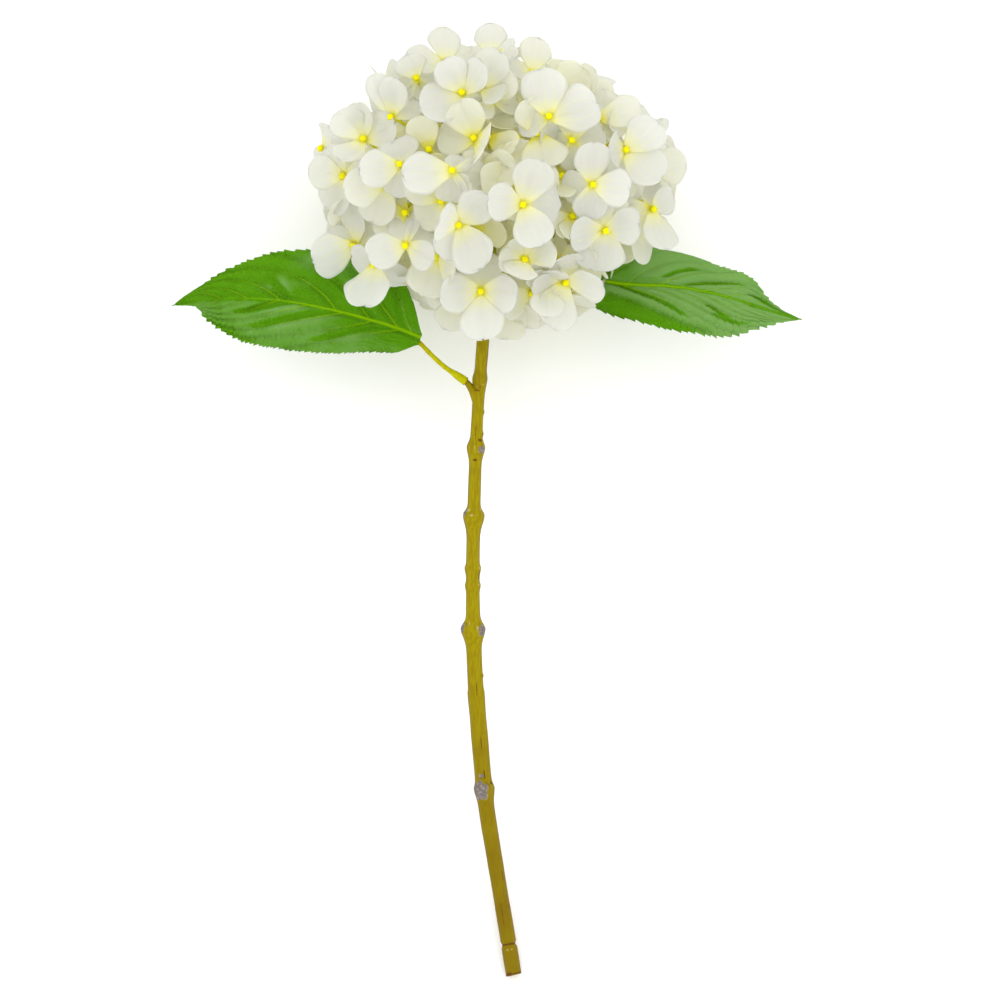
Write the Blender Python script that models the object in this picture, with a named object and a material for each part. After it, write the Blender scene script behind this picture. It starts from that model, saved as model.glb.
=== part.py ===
"""A cut hydrangea stem with a white mophead, lying on a surface.

The plant is drawn in its own frame, in millimetres: X across, Y along the stem towards the head, and Z towards
the side that faces up, with the head's centre at the origin. It is then tipped, so that the florets under the
head and the cut end of the stem rest on the surface at Z = 0.
"""

import math

import bmesh
import bpy
from mathutils import Matrix, Vector
from mathutils.bvhtree import BVHTree

MM = 0.001

# The head: a dome of florets. Their middles lie on these half-axes.
DOME = Vector((95.0, 79.0, 86.0))
HEAD_HEIGHT = 76.0  # of the head's centre above the surface

# A floret: four sepals cut from one piece, threaded on a pin between a shoulder and a bead.
SEPAL_LENGTH = 21.0
SEPAL_RISE = 4.2  # how far the tips stand in front of the floret's middle
COROLLA_THICKNESS = 0.5
HOLE_RADIUS = 1.4
CLEARANCE = 0.35  # between pieces that touch on the real plant

# A sprig: a stalk from the hub to a knot, and a pin from the knot to each of its florets.
PIN_RADIUS = 0.9
SHOULDER_RADIUS = 1.9
SHOULDER_LENGTH = 1.6
BEAD_RADIUS = 1.75
BEAD_LENGTH = 2.4
STRAIGHT_END = 5.0  # the last stretch of a pin, along its floret's axis
STALK_RADIUS = 1.7
KNOT_RADIUS = 2.6
KNOT_DISTANCE = 31.0  # from the hub's centre

# The sprigs, by the way that each one grows from the hub.
SPRIGS = {
    "front": (-0.05, 0.15, 1.0),
    "front_low": (0.1, -0.65, 1.0),
    "front_left": (-0.75, 0.15, 0.8),
    "front_right": (0.7, 0.2, 0.85),
    "front_high": (-0.15, 0.95, 0.75),
    "left": (-1.0, 0.45, 0.15),
    "right": (1.0, 0.45, 0.1),
    "high": (0.1, 1.0, -0.2),
    "under_left": (-0.65, 0.1, -0.9),
    "under_right": (0.65, 0.25, -0.9),
}

# The stem, from the hub inside the head to the cut end: (across, along) of its middle.
STEM_LINE = [(-4.5, -30.0), (-8.9, -87.0), (-11.6, -125.0), (-13.6, -175.0), (-14.4, -230.0),
             (-13.2, -270.0), (-10.9, -302.0), (-7.3, -341.0), (-1.8, -376.5), (8.1, -436.0)]
HUB_RADIUS = 7.5
# The stem's radius: (along, radius).
STEM_RADII = [(-30.0, 3.4), (-87.0, 3.3), (-125.0, 3.15), (-175.0, 3.5), (-225.0, 3.7), (-260.0, 4.1),
              (-302.0, 4.5), (-345.0, 4.45), (-382.0, 4.1), (-436.0, 4.25)]
# Its joints: (along, how much thicker, half-length of the swelling).
STEM_JOINTS = [(-106.0, 0.7, 4.0), (-146.4, 1.7, 4.5), (-183.0, 2.2, 4.0), (-212.5, 0.9, 3.0),
               (-246.7, 2.9, 5.0), (-283.0, 0.7, 9.0), (-333.6, 1.4, 4.0), (-420.5, -1.3, 1.8)]
CUT_SLANT = 0.8  # how much longer the cut end is on one side

# The leaves. Each petiole ends in a sleeve, pushed on a peg of the stem.
PEG_RADIUS = 1.3
PEG_LENGTH = 6.5
BORE_RADIUS = 1.75
BORE_DEPTH = 7.2
SLEEVE_RADIUS = 2.4
PETIOLE_RADIUS = 1.1
BLADE_THICKNESS = 0.6
MIDRIB_SHARE = 0.6  # of the blade's length that the petiole runs on behind it
LEAVES = {
    "left": {
        "root": (-11.0, -124.0, 0.0),
        "mouth": (-18.0, -110.0, 0.5),
        "way": (-0.82, 0.56, 0.08),
        "midrib": [(-46.0, -89.0, 1.0), (-69.0, -75.5, 2.5), (-98.0, -69.0, 3.0), (-128.0, -64.5, 0.0),
                   (-164.0, -64.5, -8.0), (-180.0, -68.0, -13.0)],
        "widths": ([0.0, 25.0, 32.0, 33.0, 32.0, 29.5, 25.5, 19.0, 12.0, 4.5, 0.0],
                   [0.0, 15.0, 21.0, 24.5, 27.0, 27.5, 26.5, 23.5, 17.0, 3.6, 0.0]),
        "roll": 0.0,
    },
    "right": {
        "root": (-9.0, -92.0, 0.0),
        "mouth": (0.5, -80.5, -1.0),
        "way": (0.86, 0.5, -0.08),
        "midrib": [(43.0, -52.0, -6.0), (70.0, -56.0, -5.0), (88.0, -56.6, -5.0), (107.0, -58.5, -6.0),
                   (132.0, -65.5, -10.0), (167.0, -76.0, -18.0)],
        "widths": ([0.0, 15.5, 21.5, 22.0, 20.5, 18.0, 16.5, 17.4, 13.3, 5.1, 0.0],
                   [0.0, 15.5, 22.5, 25.5, 27.5, 29.5, 29.5, 23.5, 13.5, 4.7, 0.0]),
        "roll": -22.0,
    },
}
FOLD = 10.0  # degrees that each half of a blade rises from its midrib

# The florets that show from above: (across, along, turn of one sepal, lean across, lean along, depth).
# Leans are in degrees from the usual way of facing; a depth is how far inside the dome the floret sits.
SHOWN_FLORETS = [
    (-10, -60, 0, 0, 12, 0), (-22, -24, 52, 0, 0, -2), (13, -13, 70, 0, 0, -2), (-51, -35, 10, 0, 0, 0),
    (58, -27, 11, 0, 0, 0), (50, -2, -3, 0, 0, 3), (69, 17, 55, 0, 0, 0), (-79, -35, 15, 0, 0, 4),
    (-54, 9, 9, 0, 5, 0), (-25, 5, 0, 0, 5, 2), (-32, -11, 50, 0, 0, 6), (27, 35, 10, 0, 0, 0),
    (-20, 48, 48, -8, 0, 0), (-15, 24, 31, -25, 0, 8), (-5, 24, -10, 25, 0, 8), (36, -55, -10, 10, 0, 2),
    (21, 26, 18, -8, 0, 6), (-36, -43, -20, 0, 0, 6), (40, 22, -5, 0, 0, 6), (14, -43, 5, 0, 20, 6),
    (56, 36, 12, 0, 0, 2), (84, -15, 40, 0, 0, 2), (-62, -1, 10, 0, 0, 8), (-41, 19, 20, 0, 0, 6),
    (-29, 65, 5, 0, 0, 2), (-5, 67, 0, 0, 0, 2), (19, 60, 5, 0, 0, 4), (32, 53, 30, 0, 0, 8),
    (-59, 35, 0, 0, 0, 2), (-74, 23, 40, 0, 0, 4), (-85, 3, 0, 0, 0, 4), (86, 8, 10, 0, 0, 6),
    (18, -61, 20, 0, 0, 12),
]
UPWARD = 0.8  # how far the shown florets turn from the dome's own direction to the side that faces up
# The florets round the head's sides, clear of the stem: degrees round the dome from +X.
SIDE_FLORETS = [-32, 12, 52, 90, 128, 168, 212]
SIDE_DROP = 27.0  # degrees that they lie below the dome's widest line
# The florets that the head rests on: (across, along) on the surface, from under the head's centre.
REST_FLORETS = [(0, -2), (-42, 20), (42, 20), (-34, -32)]

WHITE = (0.93, 0.93, 0.85, 1.0)
YELLOW = (0.90, 0.80, 0.05, 1.0)
OLIVE = (0.40, 0.36, 0.03, 1.0)
GREEN = (0.10, 0.30, 0.03, 1.0)


def clear_scene():
    """Removes the objects that the scene starts with."""
    for obj in list(bpy.data.objects):
        bpy.data.objects.remove(obj, do_unlink=True)


def material(name, colour, roughness):
    """A Principled material of one colour."""
    made = bpy.data.materials.new(name)
    made.use_nodes = True
    shader = made.node_tree.nodes["Principled BSDF"]
    shader.inputs["Base Color"].default_value = colour
    shader.inputs["Roughness"].default_value = roughness
    shader.inputs["Metallic"].default_value = 0.0
    return made


# ---------------------------------------------------------------- shapes

def interpolate(table, at):
    """The value at one place of a table of (place, value), in straight lines."""
    ordered = sorted(table)
    for (low, before), (high, after) in zip(ordered, ordered[1:]):
        if at <= high:
            return before + (after - before) * max(0.0, at - low) / (high - low)
    return ordered[-1][1]


def smooth_line(points, steps):
    """A Catmull-Rom curve through the points, with this many steps between two of them."""
    points = [Vector(p).to_3d() for p in points]
    padded = [2 * points[0] - points[1], *points, 2 * points[-1] - points[-2]]
    line = []
    for a, b, c, d in zip(padded, padded[1:], padded[2:], padded[3:]):
        for k in range(steps):
            t = k / steps
            line.append(0.5 * (2 * b + (c - a) * t + (2 * a - 5 * b + 4 * c - d) * t * t
                               + (3 * b - a - 3 * c + d) * t ** 3))
    return line + [points[-1]]


def bend(start, start_way, end, end_way, steps):
    """A curve that leaves its start one way and reaches its end another."""
    reach = 0.36 * (end - start).length
    first, second = start + reach * start_way.normalized(), end - reach * end_way.normalized()
    line = []
    for k in range(steps + 1):
        t = k / steps
        line.append((1 - t) ** 3 * start + 3 * (1 - t) ** 2 * t * first + 3 * (1 - t) * t * t * second
                    + t ** 3 * end)
    return line


def frames(line):
    """(point, side, up) at each point of a line, turning as little as possible."""
    last = len(line) - 1
    side, made = None, []
    for k, point in enumerate(line):
        way = (line[min(k + 1, last)] - line[max(k - 1, 0)]).normalized()
        side = side - side.dot(way) * way if side else way.orthogonal()
        side.normalize()
        made.append((point, side.copy(), way.cross(side)))
    return made


def tube(line, profile, sides):
    """(points, faces) of a closed tube. Its profile is a list of (index in the line, radius), ring by ring."""
    stations = frames(line)
    points = []
    for index, radius in profile:
        centre, side, up = stations[index]
        turns = [2 * math.pi * k / sides for k in range(sides)]
        points += [centre + radius * (math.cos(a) * side + math.sin(a) * up) for a in turns]
    count = len(profile)
    faces = [tuple(range(sides))[::-1], tuple(range((count - 1) * sides, count * sides))]
    for i in range(count - 1):
        for k in range(sides):
            low, side = i * sides + k, i * sides + (k + 1) % sides
            faces.append((low, side, side + sides, low + sides))
    return points, faces


def ball(centre, radius):
    """(points, faces) of a coarse ball."""
    bm = bmesh.new()
    bmesh.ops.create_icosphere(bm, subdivisions=2, radius=radius, matrix=Matrix.Translation(centre))
    shape = [v.co.copy() for v in bm.verts], [tuple(v.index for v in f.verts) for f in bm.faces]
    bm.free()
    return shape


def mesh_of(points, faces):
    """A Blender mesh of a closed shape, with its faces pointing out."""
    mesh = bpy.data.meshes.new("shape")
    mesh.from_pydata([tuple(p) for p in points], [], faces)
    bm = bmesh.new()
    bm.from_mesh(mesh)
    bmesh.ops.recalc_face_normals(bm, faces=bm.faces)
    bmesh.ops.triangulate(bm, faces=bm.faces)
    bm.to_mesh(mesh)
    bm.free()
    return mesh


def union(shapes):
    """One mesh from shapes that overlap."""
    objects = [bpy.data.objects.new("shape", mesh_of(*shape)) for shape in shapes]
    for obj in objects:
        bpy.context.scene.collection.objects.link(obj)
    first = objects[0]
    for other in objects[1:]:
        joint = first.modifiers.new("union", "BOOLEAN")
        joint.operation, joint.solver, joint.object = "UNION", "MANIFOLD", other
    bpy.context.view_layer.update()
    mesh = bpy.data.meshes.new_from_object(first.evaluated_get(bpy.context.evaluated_depsgraph_get()))
    for obj in objects:
        bpy.data.objects.remove(obj, do_unlink=True)
    return mesh


# ---------------------------------------------------------------- florets

def corolla():
    """(points, faces) of one floret's four sepals, round Z and facing +Z, with a sepal along +X."""
    def ring(count, share, drop):
        made = []
        for k in range(count):
            angle = 2 * math.pi * k / count
            notch = abs(math.sin(2 * angle))
            radius = SEPAL_LENGTH * (1.0 - 0.03 * notch - 0.36 * notch ** 6) * share if share else HOLE_RADIUS
            rise = SEPAL_RISE * (radius / SEPAL_LENGTH) ** 2
            made.append(Vector((radius * math.cos(angle), radius * math.sin(angle), rise - drop)))
        return made

    points, faces = [], []
    for drop in (0.0, COROLLA_THICKNESS):
        hole, middle, rim = (len(points) + start for start in (0, 8, 16))
        points += ring(8, 0.0, drop) + ring(8, 0.55, drop) + ring(24, 1.0, drop)
        for k in range(8):
            a, b = k, (k + 1) % 8
            r = [rim + (3 * k + i) % 24 for i in range(4)]
            made = [(hole + a, middle + a, middle + b, hole + b), (middle + a, r[0], r[1]),
                    (middle + a, r[1], r[2], middle + b), (middle + b, r[2], r[3])]
            faces += [f[::-1] for f in made] if drop else made
    for start, count, outer in ((0, 8, False), (16, 24, True)):
        for k in range(count):
            i, j = start + k, start + (k + 1) % count
            wall = (i, i + 40, j + 40, j)
            faces.append(wall if outer else wall[::-1])
    return points, faces


def seat(centre, facing, turn):
    """Where a floret sits: its middle, the way that it faces, and the turn of one sepal seen from +Z."""
    facing = facing.normalized()
    way = Vector((math.cos(turn), math.sin(turn), 0.0))
    way = (way - way.dot(facing) * facing).normalized()
    return Matrix.Translation(centre) @ Matrix((way, facing.cross(way), facing)).transposed().to_4x4()


def dome_point(across, along):
    """The point of the dome's front with this place, and the way out from there."""
    share = max(0.03, 1.0 - (across / DOME.x) ** 2 - (along / DOME.y) ** 2)
    point = Vector((across, along, DOME.z * math.sqrt(share)))
    return point, Vector((point.x / DOME.x ** 2, point.y / DOME.y ** 2, point.z / DOME.z ** 2)).normalized()


def hub_centre():
    return Vector(STEM_LINE[0]).to_3d()


def sprig_of(place):
    """The sprig that reaches a place most directly."""
    way = (place - hub_centre()).normalized()
    return max(SPRIGS, key=lambda name: way.dot(Vector(SPRIGS[name]).normalized()))


def knot_of(sprig):
    """A sprig's knot and the way that its stalk reaches it."""
    way = Vector(SPRIGS[sprig]).normalized()
    return hub_centre() + KNOT_DISTANCE * way, way


def pin(sprig, matrix):
    """(points, faces) of the pin from a sprig's knot, through a floret, to its bead."""
    knot, way = knot_of(sprig)
    axis = matrix.to_3x3() @ Vector((0, 0, 1))
    middle = matrix.translation
    back = COROLLA_THICKNESS + CLEARANCE  # from the floret's middle to the shoulder
    heights = [-back - SHOULDER_LENGTH, -back, -back, CLEARANCE, CLEARANCE, CLEARANCE + 0.75 * BEAD_LENGTH,
               CLEARANCE + BEAD_LENGTH]
    radii = [PIN_RADIUS, SHOULDER_RADIUS, PIN_RADIUS, PIN_RADIUS, BEAD_RADIUS, BEAD_RADIUS, 0.55 * BEAD_RADIUS]
    start = middle - (back + SHOULDER_LENGTH + STRAIGHT_END) * axis
    line = bend(knot, start - knot + 10 * way, start, axis, 4)
    curved = len(line)
    line += [middle + height * axis for height in sorted(set(heights))]
    places = sorted(set(heights))
    profile = [(k, PIN_RADIUS) for k in range(curved)]
    profile += [(curved + places.index(height), radius) for height, radius in zip(heights, radii)]
    return tube(line, profile, 6)


def sprig(name, matrices):
    """One moulded branch: a stalk, a knot and a pin for each floret."""
    knot, way = knot_of(name)
    foot = hub_centre() + (HUB_RADIUS + CLEARANCE) * way
    shapes = [tube([foot, knot], [(0, STALK_RADIUS), (1, STALK_RADIUS)], 8), ball(knot, KNOT_RADIUS)]
    return union(shapes + [pin(name, matrix) for matrix in matrices])


# ---------------------------------------------------------------- stem and leaves

def stem_line():
    """The stem's middle, closely stepped where it swells."""
    coarse = smooth_line(STEM_LINE, 12)
    places = {round(p.y, 1) for p in coarse[::4]} | {STEM_LINE[-1][1]}
    for along, _, half in STEM_JOINTS:
        places |= {along + share * half for share in (-1.0, -0.5, 0.0, 0.5, 1.0)}
    ordered = sorted(places, reverse=True)
    kept = [ordered[0]]
    kept += [y for y in ordered[1:] if kept[-1] - y > 0.5]
    across = [(p.y, p.x) for p in coarse]
    return [Vector((interpolate(across, y), y, 0.0)) for y in kept]


def stem_radius(along):
    """The stem's radius, with the swellings of its joints."""
    radius = interpolate(STEM_RADII, along)
    for place, more, half in STEM_JOINTS:
        radius += more * max(0.0, 1.0 - ((along - place) / half) ** 2)
    return radius


def peg(leaf):
    """(points, faces) of the peg that carries a leaf."""
    root, mouth, way = (Vector(leaf[key]) for key in ("root", "mouth", "way"))
    way.normalize()
    line = bend(root, Vector((0, 1, 0)) + 0.6 * way, mouth - way, way, 5) + [mouth + PEG_LENGTH * way]
    profile = [(k, PEG_RADIUS * (1.5 - 0.1 * k)) for k in range(5)] + [(5, PEG_RADIUS), (6, PEG_RADIUS)]
    return tube(line, profile, 8)


def stem():
    """The stem, with the hub at its top and its two pegs."""
    line = stem_line()
    points, faces = tube(line, [(k, stem_radius(p.y)) for k, p in enumerate(line)], 12)
    for point in points[-12:]:
        point.y -= CUT_SLANT * (point.x - line[-1].x) / STEM_RADII[-1][1]
    return union([(points, faces), ball(hub_centre(), HUB_RADIUS)] + [peg(leaf) for leaf in LEAVES.values()])


def blade_point(leaf, midrib, share, across):
    """A point of a blade's upper face: its share of the length, and -1 to 1 from one edge to the other."""
    at = share * (len(midrib) - 1)
    low = min(int(at), len(midrib) - 2)
    centre = midrib[low].lerp(midrib[low + 1], at - low)
    way = (midrib[low + 1] - midrib[low]).normalized()
    side = Vector((0, 0, 1)).cross(way).normalized() * math.copysign(1.0, way.x)
    side = Matrix.Rotation(math.radians(leaf["roll"]), 3, way) @ side
    up = way.cross(side) if way.cross(side).z > 0 else side.cross(way)
    widths = leaf["widths"][0 if across > 0 else 1]
    width = abs(across) * interpolate([(k / 10, w) for k, w in enumerate(widths)], share)
    fold = math.radians(FOLD)
    return centre + width * (math.copysign(math.cos(fold), across) * side + math.sin(fold) * up), up


def blade(leaf):
    """(points, faces) of a leaf's blade, folded a little along its midrib."""
    midrib = smooth_line(leaf["midrib"], 6)
    shares = [0.0, 0.04, 0.1, 0.18, 0.26, 0.34, 0.42, 0.5, 0.58, 0.66, 0.74, 0.82, 0.88, 0.93, 1.0]
    edges = (-1.0, -0.55, 0.0, 0.55, 1.0)
    points, faces = [], []
    for drop in (0.0, BLADE_THICKNESS):
        for share in shares:
            # The ends stay a little wide, so that the faces there keep an area.
            for across in edges:
                point, up = blade_point(leaf, midrib, min(max(share, 0.004), 0.992), across)
                points.append(point - drop * up)
    row, layer = len(edges), len(shares) * len(edges)
    for i in range(len(shares) - 1):
        for j in range(row - 1):
            a = i * row + j
            quad = (a, a + 1, a + row + 1, a + row)
            faces += [quad, tuple(layer + k for k in quad)[::-1]]
    rim = [i * row for i in range(len(shares))] + [layer - row + j for j in range(1, row)]
    rim += [i * row + row - 1 for i in range(len(shares) - 2, -1, -1)] + list(range(row - 2, 0, -1))
    for a, b in zip(rim, rim[1:] + rim[:1]):
        faces.append((a, b, layer + b, layer + a))
    return points, faces


def petiole(leaf):
    """(points, faces) of a leaf's petiole, from its sleeve to where it ends behind the blade."""
    mouth, way = Vector(leaf["mouth"]), Vector(leaf["way"]).normalized()
    midrib = smooth_line(leaf["midrib"], 6)
    under = []
    for k in range(9):
        share = 0.02 + MIDRIB_SHARE * k / 8
        radius = PETIOLE_RADIUS * (1.0 - 0.6 * k / 8)
        point, up = blade_point(leaf, midrib, share, 0.0)
        under.append((point - (BLADE_THICKNESS + CLEARANCE + radius + 0.25) * up, radius))
    end = mouth + (BORE_DEPTH + 2.5) * way
    curve = bend(end, way, under[0][0], under[1][0] - under[0][0], 6)
    line = [mouth, mouth + BORE_DEPTH * way] + curve + [point for point, _ in under[1:]]
    profile = [(1, BORE_RADIUS), (0, BORE_RADIUS), (0, SLEEVE_RADIUS), (1, SLEEVE_RADIUS), (2, 1.5 * PETIOLE_RADIUS)]
    profile += [(k, PETIOLE_RADIUS) for k in range(3, 9)]
    profile += [(8 + k, radius) for k, (_, radius) in enumerate(under) if k]
    return tube(line, profile, 8)


# ---------------------------------------------------------------- placing the florets

def tries():
    """Small changes to a floret's seat, the smallest first: (depth, lean across, lean along, turn)."""
    leans = [(0.0, 0.0)] + [(s * math.cos(math.pi * k / 4), s * math.sin(math.pi * k / 4))
                            for s in (9, 18, 27) for k in range(8)]
    found = [(depth, *lean, turn) for depth in range(-4, 26, 2) for lean in leans
             for turn in (0, -15, 15, -30, 30, 45)]
    return sorted(found, key=lambda t: abs(t[0]) / 4 + math.hypot(t[1], t[2]) / 9 + abs(t[3]) / 20)


def wanted_seats(lie_down):
    """(place, way out, turn, whether it rests on the surface) of each floret."""
    back = lie_down.inverted()
    wanted = []
    for across, along in REST_FLORETS:
        place = lie_down @ Vector((0, 0, 0)) + Vector((across, along, 0))
        place.z = SEPAL_RISE
        wanted.append((back @ place, back.to_3x3() @ Vector((0, 0, -1)), 45, True))
    for across, along, turn, lean_across, lean_along, depth in SHOWN_FLORETS:
        point, out = dome_point(across, along)
        out = (out + Vector((0, 0, UPWARD))).normalized()
        out = Matrix.Rotation(math.radians(lean_across), 3, "Y") @ out
        out = Matrix.Rotation(math.radians(-lean_along), 3, "X") @ out
        wanted.append((point - Vector((0, 0, depth)), out, turn, False))
    low = math.radians(SIDE_DROP)
    for angle in SIDE_FLORETS:
        way = Vector((math.cos(low) * math.cos(math.radians(angle)), math.cos(low) * math.sin(math.radians(angle)),
                      -math.sin(low)))
        place = Vector((way.x * DOME.x, way.y * DOME.y, way.z * DOME.z))
        out = Vector((way.x / DOME.x, way.y / DOME.y, way.z / DOME.z))
        wanted.append((place, out, angle, False))
    return wanted


def clear(trees, others):
    return not any(tree.overlap(other) for tree in trees for other in others)


def florets(lie_down, obstacles):
    """The seat and the sprig of each floret, so that no two meet, nor anything else."""
    points, faces = corolla()
    wide = [p + Vector((0, 0, CLEARANCE if k < 40 else -CLEARANCE)) for k, p in enumerate(points)]
    found, placed = [], []
    for place, out, turn, rests in wanted_seats(lie_down):
        for depth, lean_across, lean_along, more in [(0, 0, 0, 0)] if rests else tries():
            leaned = Matrix.Rotation(math.radians(lean_across), 3, "Y") @ out
            leaned = Matrix.Rotation(math.radians(lean_along), 3, "X") @ leaned
            matrix = seat(place - depth * out, leaned, math.radians(turn + more))
            if not rests and min((lie_down @ matrix @ p).z for p in points) < 1.0:
                continue
            branch = sprig_of(matrix.translation)
            leaf = BVHTree.FromPolygons([matrix @ p for p in wide], faces)
            needle = BVHTree.FromPolygons(*pin(branch, matrix))
            if not clear([leaf, needle], obstacles):
                continue
            if all(clear([leaf], pair) and clear([needle], pair[:1] if other == branch else pair)
                   for other, pair in placed):
                found.append((matrix, branch))
                placed.append((branch, [leaf, needle]))
                break
        else:
            print("no room for a floret at", tuple(round(c) for c in place))
    return found


# ---------------------------------------------------------------- the whole plant

def lying():
    """The matrix that lays the plant down, its stem's end and its head on the surface."""
    drop = HEAD_HEIGHT - STEM_RADII[-1][1]
    pitch = math.asin(drop / abs(STEM_LINE[-1][1]))
    return Matrix.Translation((0, 0, HEAD_HEIGHT)) @ Matrix.Rotation(pitch, 4, "X")


def main():
    clear_scene()
    skins = {"sepal": material("sepal", WHITE, 0.7), "pin": material("pin", YELLOW, 0.4),
             "stem": material("stem", OLIVE, 0.45), "leaf": material("leaf", GREEN, 0.6)}
    lie_down = lying()
    made = []

    def add(name, mesh, skin, matrix=Matrix.Identity(4)):
        mesh.materials.clear()
        mesh.materials.append(skins[skin])
        mesh.transform(Matrix.Scale(MM, 4) @ lie_down @ matrix)
        obj = bpy.data.objects.new(name, mesh)
        bpy.context.scene.collection.objects.link(obj)
        made.append(obj)

    obstacles = []
    for side, leaf in LEAVES.items():
        for name, shape, skin in (("leaf", blade(leaf), "leaf"), ("petiole", petiole(leaf), "stem")):
            obstacles.append(BVHTree.FromPolygons(*shape))
            add(f"{name}_{side}", mesh_of(*shape), skin)
    add("stem", stem(), "stem")

    placed = florets(lie_down, obstacles)
    for k, (matrix, _) in enumerate(placed, 1):
        add(f"floret_{k:02d}", mesh_of(*corolla()), "sepal", matrix)
    for name in SPRIGS:
        own = [matrix for matrix, branch in placed if branch == name]
        if own:
            add(f"sprig_{name}", sprig(name, own), "pin")

    corners = [vertex.co for obj in made for vertex in obj.data.vertices]
    middle = [(min(c[k] for c in corners) + max(c[k] for c in corners)) / 2 for k in (0, 1)]
    shift = Matrix.Translation((-middle[0], -middle[1], -min(c.z for c in corners)))
    for obj in made:
        obj.data.transform(shift)
        print(obj.name, len(obj.data.polygons))
    print({name: sum(branch == name for _, branch in placed) for name in SPRIGS})


main()
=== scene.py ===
"""The looks of a cut artificial hydrangea, lying on a pale surface and seen from above.

The florets, branches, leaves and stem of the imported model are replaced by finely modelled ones, in the same
places, and more florets fill the head between them.
"""

import logging
import math
from dataclasses import dataclass, field
from enum import Enum
from typing import Any, Sequence

import bpy
import numpy as np
from mathutils import Matrix, Vector


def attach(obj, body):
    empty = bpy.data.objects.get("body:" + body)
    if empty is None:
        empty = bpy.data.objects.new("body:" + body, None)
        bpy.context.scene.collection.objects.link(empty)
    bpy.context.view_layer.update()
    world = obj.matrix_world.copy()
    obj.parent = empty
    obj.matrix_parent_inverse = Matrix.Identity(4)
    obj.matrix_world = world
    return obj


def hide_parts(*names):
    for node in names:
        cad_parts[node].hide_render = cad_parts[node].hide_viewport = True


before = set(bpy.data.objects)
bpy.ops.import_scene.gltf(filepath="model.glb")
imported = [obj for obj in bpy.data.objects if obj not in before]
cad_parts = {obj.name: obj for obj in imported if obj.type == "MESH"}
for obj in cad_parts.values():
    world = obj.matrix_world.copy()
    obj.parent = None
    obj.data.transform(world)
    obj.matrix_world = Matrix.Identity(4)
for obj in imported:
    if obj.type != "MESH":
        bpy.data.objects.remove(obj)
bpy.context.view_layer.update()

LOG = logging.getLogger("hydrangea")
MM = 0.001
Colour = tuple[float, float, float]
Array = np.ndarray


# ---------------------------------------------------------------- shader maths


class Sock:
    """An output socket that takes part in arithmetic."""

    def __init__(self, graph: "Graph", socket: bpy.types.NodeSocket) -> None:
        """Wraps a socket.

        Args:
            graph: The graph that the socket is in.
            socket: The node's output socket.
        """
        self.graph = graph
        self.socket = socket

    @property
    def is_value(self) -> bool:
        """Whether the socket carries one number."""
        return self.socket.type == "VALUE"

    def _join(self, operation: str, first: Any, second: Any) -> "Sock":
        """Combines two operands.

        Args:
            operation: The name shared by the Math and Vector Math nodes.
            first: A socket, a number or a triple.
            second: A socket, a number or a triple.

        Returns:
            The result, a value where both operands are values.
        """
        plain = all(isinstance(x, (int, float)) or (isinstance(x, Sock) and x.is_value) for x in (first, second))
        if plain:
            return self.graph.node("ShaderNodeMath", {"operation": operation}, {0: first, 1: second})
        operands = [(x, x, x) if isinstance(x, (int, float)) else x for x in (first, second)]
        return self.graph.node("ShaderNodeVectorMath", {"operation": operation}, {0: operands[0], 1: operands[1]})

    def __add__(self, other: Any) -> "Sock":
        """The sum."""
        return self._join("ADD", self, other)

    def __radd__(self, other: Any) -> "Sock":
        """The sum, with the socket on the right."""
        return self._join("ADD", other, self)

    def __sub__(self, other: Any) -> "Sock":
        """The difference."""
        return self._join("SUBTRACT", self, other)

    def __rsub__(self, other: Any) -> "Sock":
        """The difference, with the socket on the right."""
        return self._join("SUBTRACT", other, self)

    def __mul__(self, other: Any) -> "Sock":
        """The product."""
        return self._join("MULTIPLY", self, other)

    def __rmul__(self, other: Any) -> "Sock":
        """The product, with the socket on the right."""
        return self._join("MULTIPLY", other, self)

    def clamped(self) -> "Sock":
        """The value kept between 0 and 1."""
        return self.graph.node("ShaderNodeClamp", {}, {"Value": self})

    def ramp(self, low: float, high: float) -> "Sock":
        """A smooth step.

        Args:
            low: Where the result is 0.
            high: Where the result is 1.

        Returns:
            The value carried smoothly from 0 to 1.
        """
        settings = {"interpolation_type": "SMOOTHSTEP"}
        return self.graph.node("ShaderNodeMapRange", settings, {"Value": self, "From Min": low, "From Max": high})


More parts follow.
